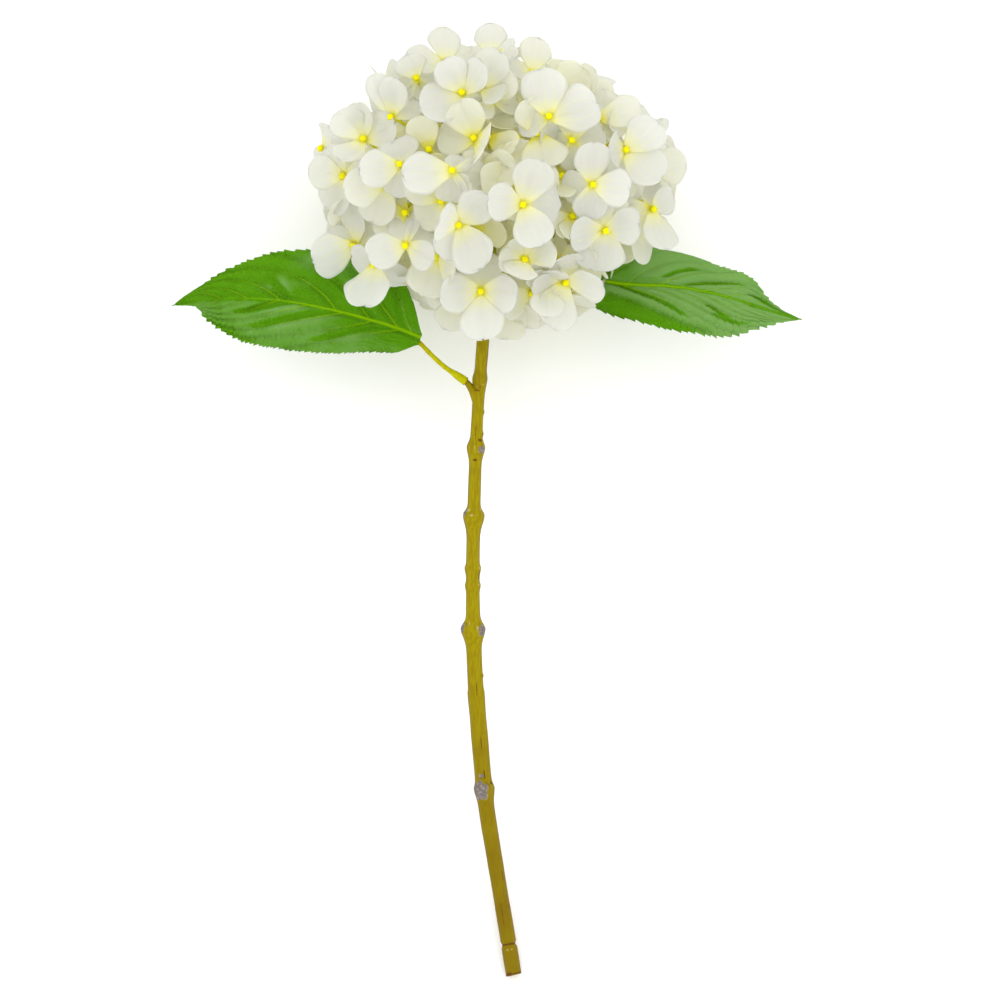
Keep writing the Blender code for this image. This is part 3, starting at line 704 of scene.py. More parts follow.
@dataclass
class Floret:
    """One floret's cloth: rounded sepals round a yellow middle.

    The shares foot, claw, half_width and widest are of a sepal's length. The other sizes are in millimetres.
    """

    material: bpy.types.Material
    foot: float = 0.03
    claw: float = 0.12
    half_width: float = 0.465
    widest: float = 0.60
    least_size: float = 20.0
    overlap: float = 0.2
    thickness: float = 0.22
    lowest: float = 0.5
    settle: float = 1.5
    steps: int = 8
    columns: int = 13

    def usual_spread(self, seat: Seat, rng: np.random.Generator) -> Spread:
        """Four sepals of a floret that has no spread of its own.

        Args:
            seat: Where it sits.
            rng: The source of its small differences.

        Returns:
            The tips, from the bead.
        """
        cross = np.cross(seat.facing, seat.way)
        open_angle = rng.uniform(0.15, 0.55)
        tips = []
        for k in range(4):
            turn = math.radians(90 * k + rng.uniform(-12, 12))
            raised = open_angle + rng.uniform(-0.25, 0.25)
            flat = math.cos(turn) * seat.way + math.sin(turn) * cross
            tip = seat.size * rng.uniform(1.0, 1.12) * (math.cos(raised) * flat + math.sin(raised) * seat.facing)
            tips.append((*tip.tolist(), rng.uniform(0.92, 1.1)))
        return tuple(tips)

    def sepal(self, facing: Array, tip: Sequence[float], lift: float, rng: np.random.Generator) -> tuple[Array, ...]:
        """Shapes one sepal.

        Args:
            facing: The way that its floret faces.
            tip: Where its tip is from the bead, and how wide it is where that isn't usual.
            lift: How far it lies above its neighbours' bases.
            rng: The source of its small differences.

        Returns:
            Its points, and the along and across values there.
        """
        reach = np.array(tip[:3], dtype=float)
        length = float(np.linalg.norm(reach))
        way = reach / length
        side = np.cross(facing, way)
        side = side / np.linalg.norm(side)
        up = np.cross(way, side)
        twist = rng.uniform(-0.16, 0.16)
        side, up = side * math.cos(twist) + up * math.sin(twist), up * math.cos(twist) - side * math.sin(twist)
        size = max(length, self.least_size) * (tip[3] if len(tip) > 3 else 1.0) * rng.uniform(0.97, 1.04)
        widest = self.widest + rng.uniform(-0.03, 0.03)
        # It widens from its foot to its widest place, and from there its tip is a blunt arc.
        base = np.linspace(self.foot, widest, self.steps)[:-1]
        swing = np.linspace(0.0, math.pi / 2, self.steps)
        along = np.concatenate([base, widest + (1.0 - widest) * np.sin(swing)])
        grown = np.sin((base - self.foot) / (widest - self.foot) * math.pi / 2) ** 1.25
        blunt = np.cos(swing) ** rng.uniform(0.74, 1.0)
        half = np.concatenate([self.claw + (self.half_width - self.claw) * grown, self.half_width * blunt])
        half[-1] = 0.02
        u, v = np.meshgrid(along, np.linspace(-1.0, 1.0, self.columns), indexing="ij")
        y = v * half[:, None] * size
        # The outline is notched at its tip or bulges there, leans to one side, and waves a little.
        notch = np.clip((u - 0.70) / 0.30, 0.0, 1.0) ** 2 * np.exp(-((y / (0.13 * size)) ** 2))
        x = u * length - 0.05 * size * rng.uniform(-0.3, 1.0) * notch
        x = x + y * rng.uniform(-0.10, 0.10) * u
        x = x + 0.022 * size * np.sin(v * rng.uniform(2.5, 4.5) + rng.uniform(0, 6)) * np.clip(u - 0.55, 0, 1) * 2
        y = y * (1.0 + 0.035 * np.sin(u * rng.uniform(9, 14) + np.sign(v) + rng.uniform(0, 6)) * np.abs(v))
        # It sags along its length, cups across it, and has a ruffled margin, a crease, pleats and a curled tip.
        sag, cup, ruffle = rng.uniform(0.05, 0.13), rng.uniform(0.02, 0.20), rng.uniform(0.0, 0.035)
        z = -4.0 * sag * length * u * (1.0 - u) * (1.0 - 0.4 * u)
        z += cup * size * ((y / (0.5 * size)) ** 2 - 0.40) * np.clip(1.5 * u, 0, 1)
        z += ruffle * size * np.sin(v * rng.uniform(3, 6) + rng.uniform(0, 6)) * u * np.abs(v)
        z -= 0.014 * size * np.exp(-((v / 0.10) ** 2)) * u * (1 - u) * 4
        z += 0.007 * size * np.sin(v * rng.uniform(11, 15) + 2.0 * u + rng.uniform(0, 6)) * np.clip(2 * u, 0, 1)
        z += lift + rng.uniform(-0.05, 0.05) * size * np.clip(u - 0.6, 0, 1) ** 2 * 6
        points = x[..., None] * way + y[..., None] * side + z[..., None] * up
        return points, u, v

    def build(self, seat: Seat, name: str, plant: Plant, tone: float, seed: int) -> bpy.types.Object:
        """Makes one floret's cloth.

        Args:
            seat: Where it sits.
            name: The piece's name.
            plant: The plant's frame.
            tone: How much painted glow it has, from 0 to 1: how much creamier and lighter it is painted, for light
                bounced deep in the head.
            seed: The seed of its small differences.

        Returns:
            The object.
        """
        rng = np.random.default_rng(seed)
        mesh = MeshBuilder()
        for k, tip in enumerate(seat.spread or self.usual_spread(seat, rng)):
            points, along, across = self.sepal(seat.facing, tip, self.overlap * (k % 2), rng)
            points = plant.to_world(points + seat.centre)
            rest = self.lowest + rng.uniform(0.0, 0.9)
            points[..., 2] = rest + self.settle * np.logaddexp(0.0, (points[..., 2] - rest) / self.settle)
            mesh.grid(points, {"along": along, "across": across, "tone": np.full(along.shape, tone)})
        made = mesh.make(name, self.material)
        thicken(made, self.thickness)
        return made


@dataclass
class Branches:
    """The moulded branches that carry the florets: a stalk from the hub to a knot, and a pin to each floret.

    Pins straighten at the neck below their floret. Each one's radii go from there through its shoulder to its bead.
    """

    material: bpy.types.Material
    directions: dict[str, tuple[float, float, float]] = field(default_factory=lambda: {
        "front": (-0.05, 0.15, 1.0), "front_low": (0.1, -0.65, 1.0), "front_left": (-0.75, 0.15, 0.8),
        "front_right": (0.7, 0.2, 0.85), "front_high": (-0.15, 0.95, 0.75), "left": (-1.0, 0.45, 0.15),
        "right": (1.0, 0.45, 0.1), "high": (0.1, 1.0, -0.2), "under_left": (-0.65, 0.1, -0.9),
        "under_right": (0.65, 0.25, -0.9)})
    knot_distance: float = 31.0
    hub_radius: float = 7.85
    stalk_radius: float = 1.7
    pin_radius: float = 0.85
    pin_steps: int = 14
    neck: float = 7.6
    pull: float = 0.36
    shoulder_heights: tuple[float, ...] = (-3.0, -2.6, -1.3, -0.9, -0.85, 0.0, 1.2)
    shoulder_radii: tuple[float, ...] = (0.9, 1.1, 1.8, 1.8, 0.9, 0.9, 0.9)
    bead_radius: float = 1.75
    bead_half_height: float = 1.25
    bead_rise: float = 1.75
    bead_turn: float = 0.6
    squareness: float = 0.62

    def unit(self, name: str) -> Array:
        """The way that a branch grows."""
        way = np.array(self.directions[name])
        return way / np.linalg.norm(way)

    def nearest(self, seat: Seat, hub: Array) -> str:
        """The branch that reaches a floret most directly."""
        way = seat.centre - hub
        return max(self.directions, key=lambda name: float(way.dot(self.unit(name))))

    def bead(self, mesh: MeshBuilder, seat: Seat, plant: Plant) -> None:
        """Adds the squarish bead in the middle of a floret.

        Args:
            mesh: Where it goes.
            seat: Where its floret sits.
            plant: The plant's frame.
        """
        basis = np.stack([seat.way, np.cross(seat.facing, seat.way), seat.facing])
        tall, turns = np.meshgrid(np.linspace(-math.pi / 2, math.pi / 2, 7),
                                  np.linspace(0, 2 * math.pi, 16, endpoint=False), indexing="ij")

        def squared(value: Array) -> Array:
            """Pushes a rounded value towards a square one."""
            return np.sign(value) * np.abs(value) ** self.squareness

        x = self.bead_radius * squared(np.cos(tall)) * squared(np.cos(turns + self.bead_turn))
        y = self.bead_radius * squared(np.cos(tall)) * squared(np.sin(turns + self.bead_turn))
        z = self.bead_half_height * squared(np.sin(tall)) + self.bead_rise
        points = plant.to_world(np.stack([x, y, z], axis=-1) @ basis + seat.centre)
        mesh.grid(points, {"along": np.ones(x.shape)}, wrap=True, caps=True)

    def build(self, seats: Sequence[Seat], plant: Plant) -> list[bpy.types.Object]:
        """Makes every branch, with a pin to each of its florets.

        Args:
            seats: All the florets.
            plant: The plant's frame.

        Returns:
            The branches.
        """
        hub = np.array(plant.hub)
        groups: dict[str, list[Seat]] = {name: [] for name in self.directions}
        for seat in seats:
            groups[self.nearest(seat, hub)].append(seat)
        made = []
        for name, group in groups.items():
            way = self.unit(name)
            foot, knot = hub + self.hub_radius * way, hub + self.knot_distance * way
            mesh = MeshBuilder()
            line = np.linspace(foot, knot + 2.0 * way, 8)
            radii = self.stalk_radius * np.array([1, 1, 0.95, 0.95, 1.0, 1.2, 1.45, 0.7])
            mesh.tube(plant.to_world(line), radii, 12, {"along": np.zeros(8)})
            for seat in group:
                start = seat.centre - self.neck * seat.facing
                gap = np.linalg.norm(start - knot)
                leaving = start - knot + 10 * way
                first = knot + self.pull * gap * leaving / np.linalg.norm(leaving)
                curve = bezier(knot, first, start - self.pull * gap * seat.facing, start, self.pin_steps)
                ends = np.array([seat.centre + height * seat.facing for height in self.shoulder_heights])
                radii = np.array([self.pin_radius] * self.pin_steps + list(self.shoulder_radii))
                along = np.concatenate([np.linspace(0.05, 0.75, self.pin_steps), np.full(len(ends), 0.85)])
                mesh.tube(plant.to_world(np.vstack([curve, ends])), radii, 10, {"along": along})
                self.bead(mesh, seat, plant)
            made.append(mesh.make(f"branch_{name}", self.material))
        return made


@dataclass
class Head:
    """The mophead: the florets that have a solid of their own, and those that fill the gaps between them.

    A shell is how many places it has, its least and greatest depth as shares of the dome, and how far apart its
    florets are. Its florets lie deeper round the rim that is seen from above, and leave the stem, the leaves and a
    hollow in the middle clear.
    """

    plant: Plant
    floret: Floret
    branches: Branches
    shells: tuple[tuple[int, float, float, float], ...] = ((110, 0.80, 0.90, 22.0), (90, 0.58, 0.72, 21.0))
    rim_reach: float = 0.45
    rim_drop: float = 0.20
    least_height: float = 11.0
    clear_place: tuple[float, float] = (-23.0, 16.0)
    clear_radius: float = 20.0
    first_seed: int = 100

    def facing_at(self, place: Array, upward: float) -> Array:
        """The usual way that a floret faces.

        Args:
            place: Its middle, in the plant's frame.
            upward: How far it turns to the side that faces up.

        Returns:
            The unit direction.
        """
        out = place / np.array(self.plant.dome) ** 2
        out = out / np.linalg.norm(out) + np.array([0.0, 0.0, upward])
        return out / np.linalg.norm(out)

    def shown_fillers(self) -> list[Seat]:
        """Seats the fillers that show from above.

        Returns:
            Their seats, each with its own spread.
        """
        made = []
        for place, spread in FILLER_SPREADS.items():
            seat = self.seat_at(np.array(place, dtype=float), self.facing_at(np.array(place), 0.8), 0.3)
            seat.spread = spread
            made.append(seat)
        return made

    @staticmethod
    def seat_at(place: Array, facing: Array, turn: float) -> Seat:
        """Makes a seat.

        Args:
            place: Its middle, in the plant's frame.
            facing: The way that its floret faces.
            turn: How far its first sepal is turned, in radians.

        Returns:
            The seat.
        """
        way = np.array([math.cos(turn), math.sin(turn), 0.0])
        if abs(way.dot(facing)) > 0.95:
            way = np.array([0.0, 0.0, 1.0])
        way = way - way.dot(facing) * facing
        return Seat(place, facing, way / np.linalg.norm(way))

    def hidden_fillers(self, taken: Sequence[Seat]) -> list[Seat]:
        """The seats of the fillers all round the head, in an outer and an inner shell.

        Args:
            taken: The florets that are already there.

        Returns:
            The new seats, none close to another.
        """
        centres = [seat.centre for seat in taken]
        made = []
        for count, inside, outside, spacing in self.shells:
            for k in range(count):
                height = 1.0 - 2.0 * (k + 0.5) / count
                turn = k * math.pi * (3.0 - math.sqrt(5.0))
                flat = math.sqrt(1.0 - height * height)
                way = np.array([flat * math.cos(turn), flat * math.sin(turn), height])
                deep = inside + (outside - inside) * ((k * 7) % 3) / 2
                rim = math.exp(-((way[2] / self.rim_reach) ** 2)) * (way[1] > 0.2)
                place = way * np.array(self.plant.dome) * (deep - self.rim_drop * rim)
                world = self.plant.to_world(place)
                if world[2] < self.least_height:
                    place = place + np.array([0.0, 0.0, self.least_height - world[2]])
                near_stem = abs(place[0] + 7.0) < 21.0 and place[1] < -38.0 and abs(place[2]) < 24.0
                in_gap = place[2] > 40.0 and math.dist(place[:2], self.clear_place) < self.clear_radius
                near_leaf = place[1] < -36.0 and abs(place[2] + 3.0) < 10.0
                if near_stem or in_gap or near_leaf:
                    continue
                if min(np.linalg.norm(place - other) for other in centres) < spacing:
                    continue
                centres.append(place)
                facing = place / np.array(self.plant.dome) ** 2
                made.append(self.seat_at(place, facing / np.linalg.norm(facing), turn * 3.0))
        return made

    def build(self, nodes: dict[str, bpy.types.Object]) -> list[bpy.types.Object]:
        """Makes the whole head.

        Args:
            nodes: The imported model's nodes.

        Returns:
            The florets' cloth and the branches.
        """
        own = [seat_of(name, node, self.plant) for name, node in sorted(nodes.items()) if name.startswith("floret")]
        extra = self.shown_fillers()
        extra += self.hidden_fillers(own + extra)
        pieces = []
        for k, seat in enumerate(own + extra, 1):
            # Deeper florets get more painted glow: their creamier, lighter colour is painted light for the light
            # bounced between sepals deep in the head.
            depth = 1.0 - float(np.linalg.norm(seat.centre / np.array(self.plant.dome)))
            tone = float(np.clip(depth * 2.6, 0.0, 1.0))
            made = self.floret.build(seat, f"sepals_{k:03d}", self.plant, tone, self.first_seed + k)
            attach(made, "root")
            if seat.node:
                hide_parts(seat.node)
            pieces.append(made)
        for made in self.branches.build(own + extra, self.plant):
            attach(made, "root")
            node = made.name.replace("branch", "sprig")
            if node in nodes:
                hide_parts(node)
            pieces.append(made)
        return pieces


# ---------------------------------------------------------------- stem


class Kind(Enum):
    """What a mark on the stem is: a grey scar, a small bud, a painted highlight or a brown streak."""

    SCAR = "scar"
    BUD = "bud"
    PALE = "pale"
    STREAK = "streak"


@dataclass(frozen=True)
class Joint:
    """One swelling of the stem, usually steeper on the side of the head."""

    along: float
    thicker: float
    headward: float
    footward: float


@dataclass(frozen=True)
class Mark:
    """A mark on the stem. Its turn is in degrees round from the side that faces up, towards +X."""

    kind: Kind
    along: float
    turn: float
    half_width: float
    half_length: float
    height: float = 0.0


@dataclass
class Stem:
    """The moulded stem with its joints, marks and two pegs.

    Its line is (across, along) pairs and its radii are (along, radius) pairs, both from the head to the foot.
    """

    plant: Plant
    material: bpy.types.Material
    line: tuple[tuple[float, float], ...] = (
        (-4.5, -30), (-8.9, -87), (-11.6, -125), (-13.6, -175), (-14.4, -230), (-13.2, -270), (-10.9, -302),
        (-7.3, -341), (-1.8, -376.5), (8.1, -436))
    radii: tuple[tuple[float, float], ...] = (
        (-30, 3.4), (-87, 3.3), (-125, 3.15), (-175, 3.5), (-225, 3.7), (-260, 4.1), (-302, 4.5), (-345, 4.45),
        (-382, 4.1), (-436, 4.25))
    joints: tuple[Joint, ...] = (
        Joint(-108, 0.9, 3.0, 5.5), Joint(-146.0, 1.7, 3.4, 5.5), Joint(-183.3, 2.3, 3.2, 6.5),
        Joint(-212.4, 0.8, 1.8, 3.0), Joint(-221.8, 0.65, 1.5, 2.6), Joint(-246.0, 2.7, 4.2, 6.5),
        Joint(-281.0, 0.35, 1.6, 9.0), Joint(-333.6, 1.2, 3.0, 5.0))
    groove_at: float = -419.3
    groove_depth: float = 1.3
    groove_reach: float = 2.6
    # The pale marks are painted highlights on the joints and beside the groove.
    marks: tuple[Mark, ...] = (
        Mark(Kind.BUD, -112.4, -20, 1.5, 1.2, 0.7), Mark(Kind.STREAK, -114.8, -18, 2.0, 0.5),
        Mark(Kind.PALE, -111.4, 33, 0.9, 0.8, 0.1), Mark(Kind.BUD, -126.5, 84, 1.0, 1.3, 0.7),
        Mark(Kind.BUD, -138.4, 84, 0.9, 1.2, 0.6), Mark(Kind.STREAK, -137.5, -10, 0.28, 5.0),
        Mark(Kind.SCAR, -147.2, 39, 2.1, 2.1, 0.5), Mark(Kind.STREAK, -142.0, 35, 1.6, 0.9, 0.3),
        Mark(Kind.PALE, -146.5, -8, 0.45, 2.4), Mark(Kind.STREAK, -153.0, -5, 1.4, 0.9),
        Mark(Kind.SCAR, -182.0, -64, 1.7, 2.4, 0.4), Mark(Kind.PALE, -180.5, -38, 1.4, 1.6, 0.2),
        Mark(Kind.PALE, -180.0, 52, 0.8, 1.0, 0.2), Mark(Kind.PALE, -183.5, -14, 1.6, 0.8, 0.1),
        Mark(Kind.STREAK, -195.0, 74, 0.5, 9.0), Mark(Kind.PALE, -212.3, 50, 1.0, 1.0, 0.4),
        Mark(Kind.STREAK, -207.0, 72, 0.6, 3.5), Mark(Kind.PALE, -221.6, 45, 0.9, 0.7, 0.2),
        Mark(Kind.STREAK, -216.5, 62, 0.5, 3.0),
        Mark(Kind.SCAR, -246.8, 50, 3.0, 3.3, 0.4), Mark(Kind.PALE, -245.6, 20, 0.8, 2.2, 0.2),
        Mark(Kind.PALE, -243.0, -22, 0.5, 2.0, 0.1), Mark(Kind.SCAR, -245.4, -66, 2.2, 3.0, 0.5),
        Mark(Kind.BUD, -271.5, 74, 1.2, 1.2, 0.8), Mark(Kind.STREAK, -279.0, 4, 0.35, 4.5),
        Mark(Kind.STREAK, -268.0, 78, 0.5, 4.0), Mark(Kind.STREAK, -296.0, 76, 0.7, 7.0),
        Mark(Kind.STREAK, -309.0, 8, 0.35, 4.0), Mark(Kind.STREAK, -326.0, 10, 0.5, 3.0),
        Mark(Kind.SCAR, -334.6, -24, 4.3, 5.4, 0.75), Mark(Kind.SCAR, -326.6, -14, 1.6, 1.1, 0.2),
        Mark(Kind.STREAK, -331.0, 62, 1.6, 0.9, -0.3), Mark(Kind.PALE, -332.5, -12, 1.3, 1.6, 0.2),
        Mark(Kind.STREAK, -382.0, 49, 0.45, 3.4), Mark(Kind.STREAK, -399.0, 64, 0.7, 0.8),
        Mark(Kind.STREAK, -403.0, -9, 0.3, 9.0), Mark(Kind.PALE, -422.3, -16, 0.9, 0.6),
        Mark(Kind.PALE, -422.3, 16, 0.9, 0.5), Mark(Kind.STREAK, -435.0, -40, 3.0, 0.8),
        Mark(Kind.SCAR, -147.0, 205, 2.0, 2.2, 0.5), Mark(Kind.SCAR, -183.0, 150, 2.2, 2.6, 0.5),
        Mark(Kind.SCAR, -247.0, 190, 3.0, 3.6, 0.6), Mark(Kind.BUD, -300.0, 170, 1.4, 1.6, 0.7),
        Mark(Kind.SCAR, -352.0, 165, 2.6, 3.4, 0.6), Mark(Kind.STREAK, -160.0, 180, 0.4, 8.0),
        Mark(Kind.STREAK, -225.0, 160, 0.4, 9.0), Mark(Kind.STREAK, -385.0, 200, 0.4, 9.0))
    seam_turn: float = 88.0
    seam_height: float = 0.07
    cut_slant: float = 0.3
    cut_reach: float = 8.0
    head_dome: float = 1.3
    foot_dome: float = 0.45
    aged_from: float = -250.0
    aged_over: float = 130.0
    sides: int = 64
    rings: int = 760
    pegs: tuple[tuple[tuple[float, float, float], ...], ...] = (
        ((-11.6, -121.5, 0.0), (-14.2, -115.5, 0.2), (-18.0, -110.0, 0.5), (-22.9, -106.6, 1.0)),
        ((-8.6, -85.5, -0.5), (-4.6, -82.6, -0.7), (0.2, -80.7, -1.0), (5.6, -77.5, -1.5)))
    peg_radii: tuple[float, ...] = (3.0, 2.35, 1.55, 1.3)

    def profile(self, along: Array) -> Array:
        """The stem's radius, with its joints and the groove above its foot.

        Args:
            along: Where, along the plant.

        Returns:
            The radius there.
        """
        radius = np.interp(-along, [-y for y, _ in self.radii], [r for _, r in self.radii])
        for joint in self.joints:
            off = along - joint.along
            reach = np.where(off > 0, joint.headward, joint.footward)
            radius = radius + joint.thicker * np.exp(-((off / reach) ** 2))
        near = np.clip(1.0 - np.abs(along - self.groove_at) / self.groove_reach, 0.0, 1.0)
        return radius - self.groove_depth * (1.0 - np.sqrt(1.0 - near**2))

    def build(self) -> bpy.types.Object:
        """Makes the stem.

        Returns:
            The stem.
        """
        # The middle line, in even steps, and the ways along it, up from it and across it.
        middle = catmull(np.array([(x, y, 0.0) for x, y in self.line]), 24)
        length = np.concatenate([[0], np.cumsum(np.linalg.norm(np.diff(middle, axis=0), axis=1))])
        even = np.linspace(0, length[-1], self.rings)
        middle = np.stack([np.interp(even, length, middle[:, k]) for k in range(3)], axis=1)
        way = np.gradient(middle, axis=0)
        way /= np.linalg.norm(way, axis=1)[:, None]
        up = np.array([0.0, 0.0, 1.0])
        side = np.cross(way, up)
        side = side * np.sign(side[:, :1])
        along, turn = np.meshgrid(middle[:, 1], np.linspace(0, 2 * math.pi, self.sides, endpoint=False), indexing="ij")
        # The radius round it, with shallow lobes and waves, and then the marks and the two seams.
        phases = np.random.default_rng(11).uniform(0, 2 * math.pi, 8)
        bulk = np.repeat(self.profile(middle[:, 1])[:, None], self.sides, axis=1)
        for k, lobes in enumerate((5, 9, 14)):
            bulk = bulk + 0.055 * np.sin(lobes * turn + phases[k] + 0.02 * (k + 1) * along + np.sin(along / 17 + k))
        bulk = bulk + 0.07 * np.sin(along / 5.3 + 2 * turn) * np.sin(along / 13.0)
        stored = {name: np.zeros_like(bulk) for name in ("scar", "stain", "pale", "seam")}
        stored["age"] = np.clip((self.aged_from - along) / self.aged_over, 0.0, 1.0)
        for mark in self.marks:
            bulk = self.add_mark(mark, along, turn, bulk, stored)
        # Each seam is a thin raised ridge, and the broad band stored round it is painted shade on that side of the
        # stem.
        for seam in (self.seam_turn, -self.seam_turn):
            off = (np.degrees(turn) - seam + 180.0) % 360.0 - 180.0
            stored["seam"] = np.maximum(stored["seam"], np.exp(-((off / 24.0) ** 2)))
            bulk = bulk + self.seam_height * np.exp(-((off / 5.0) ** 2))
        # The cut end and the groove are darker brown.
        ends = np.exp(-(((along - middle[-1, 1]) / 1.3) ** 2)) + np.exp(-(((along - self.groove_at) / 0.7) ** 2))
        stored["stain"] = np.maximum(stored["stain"], 0.9 * ends)
        out = np.cos(turn)[..., None] * up + np.sin(turn)[..., None] * side[:, None, :]
        points = middle[:, None, :] + bulk[..., None] * out
        slant = np.clip((middle[-1, 1] + self.cut_reach - along) / self.cut_reach, 0, 1)
        points = points + slant[..., None] * way[:, None, :] * (-out[..., :1] * self.cut_slant)
        mesh = MeshBuilder()
        mesh.grid(self.plant.to_world(points), stored, wrap=True)
        self.add_end(mesh, points[0], -way[0], self.head_dome)
        self.add_end(mesh, points[-1], way[-1], self.foot_dome)
        for peg in self.pegs:
            line = catmull(np.array(peg), 10)
            share = np.linspace(0, 1, len(line))
            radii = np.interp(share, np.linspace(0, 1, len(self.peg_radii)), self.peg_radii)
            stain = 0.5 * np.exp(-(((share - 0.62) / 0.06) ** 2))
            mesh.tube(self.plant.to_world(line), radii, 24, {"stain": stain, "seam": np.full(len(line), 0.3)})
        return mesh.make("stem_moulding", self.material)

    @staticmethod
    def add_mark(mark: Mark, along: Array, turn: Array, bulk: Array, stored: dict[str, Array]) -> Array:
        """Raises a mark and stores its colours.

        Args:
            mark: The mark.
            along: Each point's place along the plant.
            turn: Each point's turn round the stem, in radians.
            bulk: Each point's radius.
            stored: The mesh's values, which are changed.

        Returns:
            The new radius.
        """
        off = (np.degrees(turn) - mark.turn + 180.0) % 360.0 - 180.0
        across = np.radians(off) * bulk / mark.half_width
        ahead = (along - mark.along) / mark.half_length
        if mark.kind is Kind.STREAK:
            shape = np.exp(-(across**2)) * np.exp(-(ahead**4))
            stored["stain"] = np.maximum(stored["stain"], shape)
            return bulk + (mark.height - 0.06) * shape
        wobble = 1.0 + 0.10 * np.sin(5 * np.arctan2(across, ahead) + mark.along)
        reach = np.sqrt(across**2 + ahead**2) * wobble
        flat = 1.0 / (1.0 + np.exp((reach - 0.95) * 9.0))
        rim = np.exp(-(((reach - 1.02) / 0.20) ** 2))
        if mark.kind is Kind.SCAR:
            stored["scar"] = np.maximum(stored["scar"], flat)
            stored["stain"] = np.maximum(stored["stain"], 0.6 * np.exp(-(((reach - 1.15) / 0.16) ** 2)) * (ahead > 0))
            # The rim is painted paler on its footward side: a painted highlight.
            stored["pale"] = np.maximum(stored["pale"], 0.5 * rim * (ahead < 0.3))
            grain = 0.10 * np.sin(across * 7 + 3 * ahead) * np.sin(ahead * 6 - across)
            return bulk + mark.height * (0.85 * flat + 0.35 * rim) + grain * flat
        dome = np.exp(-(reach**2))
        # A highlight mark is painted pale all over, and a bud paler on its top: painted highlights.
        stored["pale"] = np.maximum(stored["pale"], dome * (0.9 if mark.kind is Kind.PALE else 0.45))
        if mark.kind is Kind.BUD:
            stored["stain"] = np.maximum(stored["stain"], 0.8 * np.exp(-(((reach - 1.25) / 0.25) ** 2)) * (ahead < 0.4))
        return bulk + mark.height * dome

    def add_end(self, mesh: MeshBuilder, ring: Array, outward: Array, dome: float) -> None:
        """Closes an end with a rounded edge and a slightly sunken face.

        Args:
            mesh: Where it goes.
            ring: The last ring's points.
            outward: The way out of the stem.
            dome: How far the end stands out.
        """
        centre = ring.mean(axis=0)
        rows = []
        for share, rise in ((1.0, 0.0), (0.97, 0.35), (0.88, 0.7), (0.70, 0.85), (0.45, 0.70), (0.15, 0.55)):
            rows.append(centre + (ring - centre) * share + outward * dome * rise)
        points = self.plant.to_world(np.array(rows))
        shape = points.shape[:2]
        # Its brown rim fades to a pale middle.
        fading = np.linspace(1.0, 0.0, shape[0])[:, None] * np.ones(shape)
        mesh.grid(points, {"stain": 0.8 * fading, "pale": 0.5 * (1.0 - fading)}, wrap=True)
        last = mesh.count - shape[1]
        mesh.faces.append(tuple(last + k for k in range(shape[1])))


# ---------------------------------------------------------------- leaves


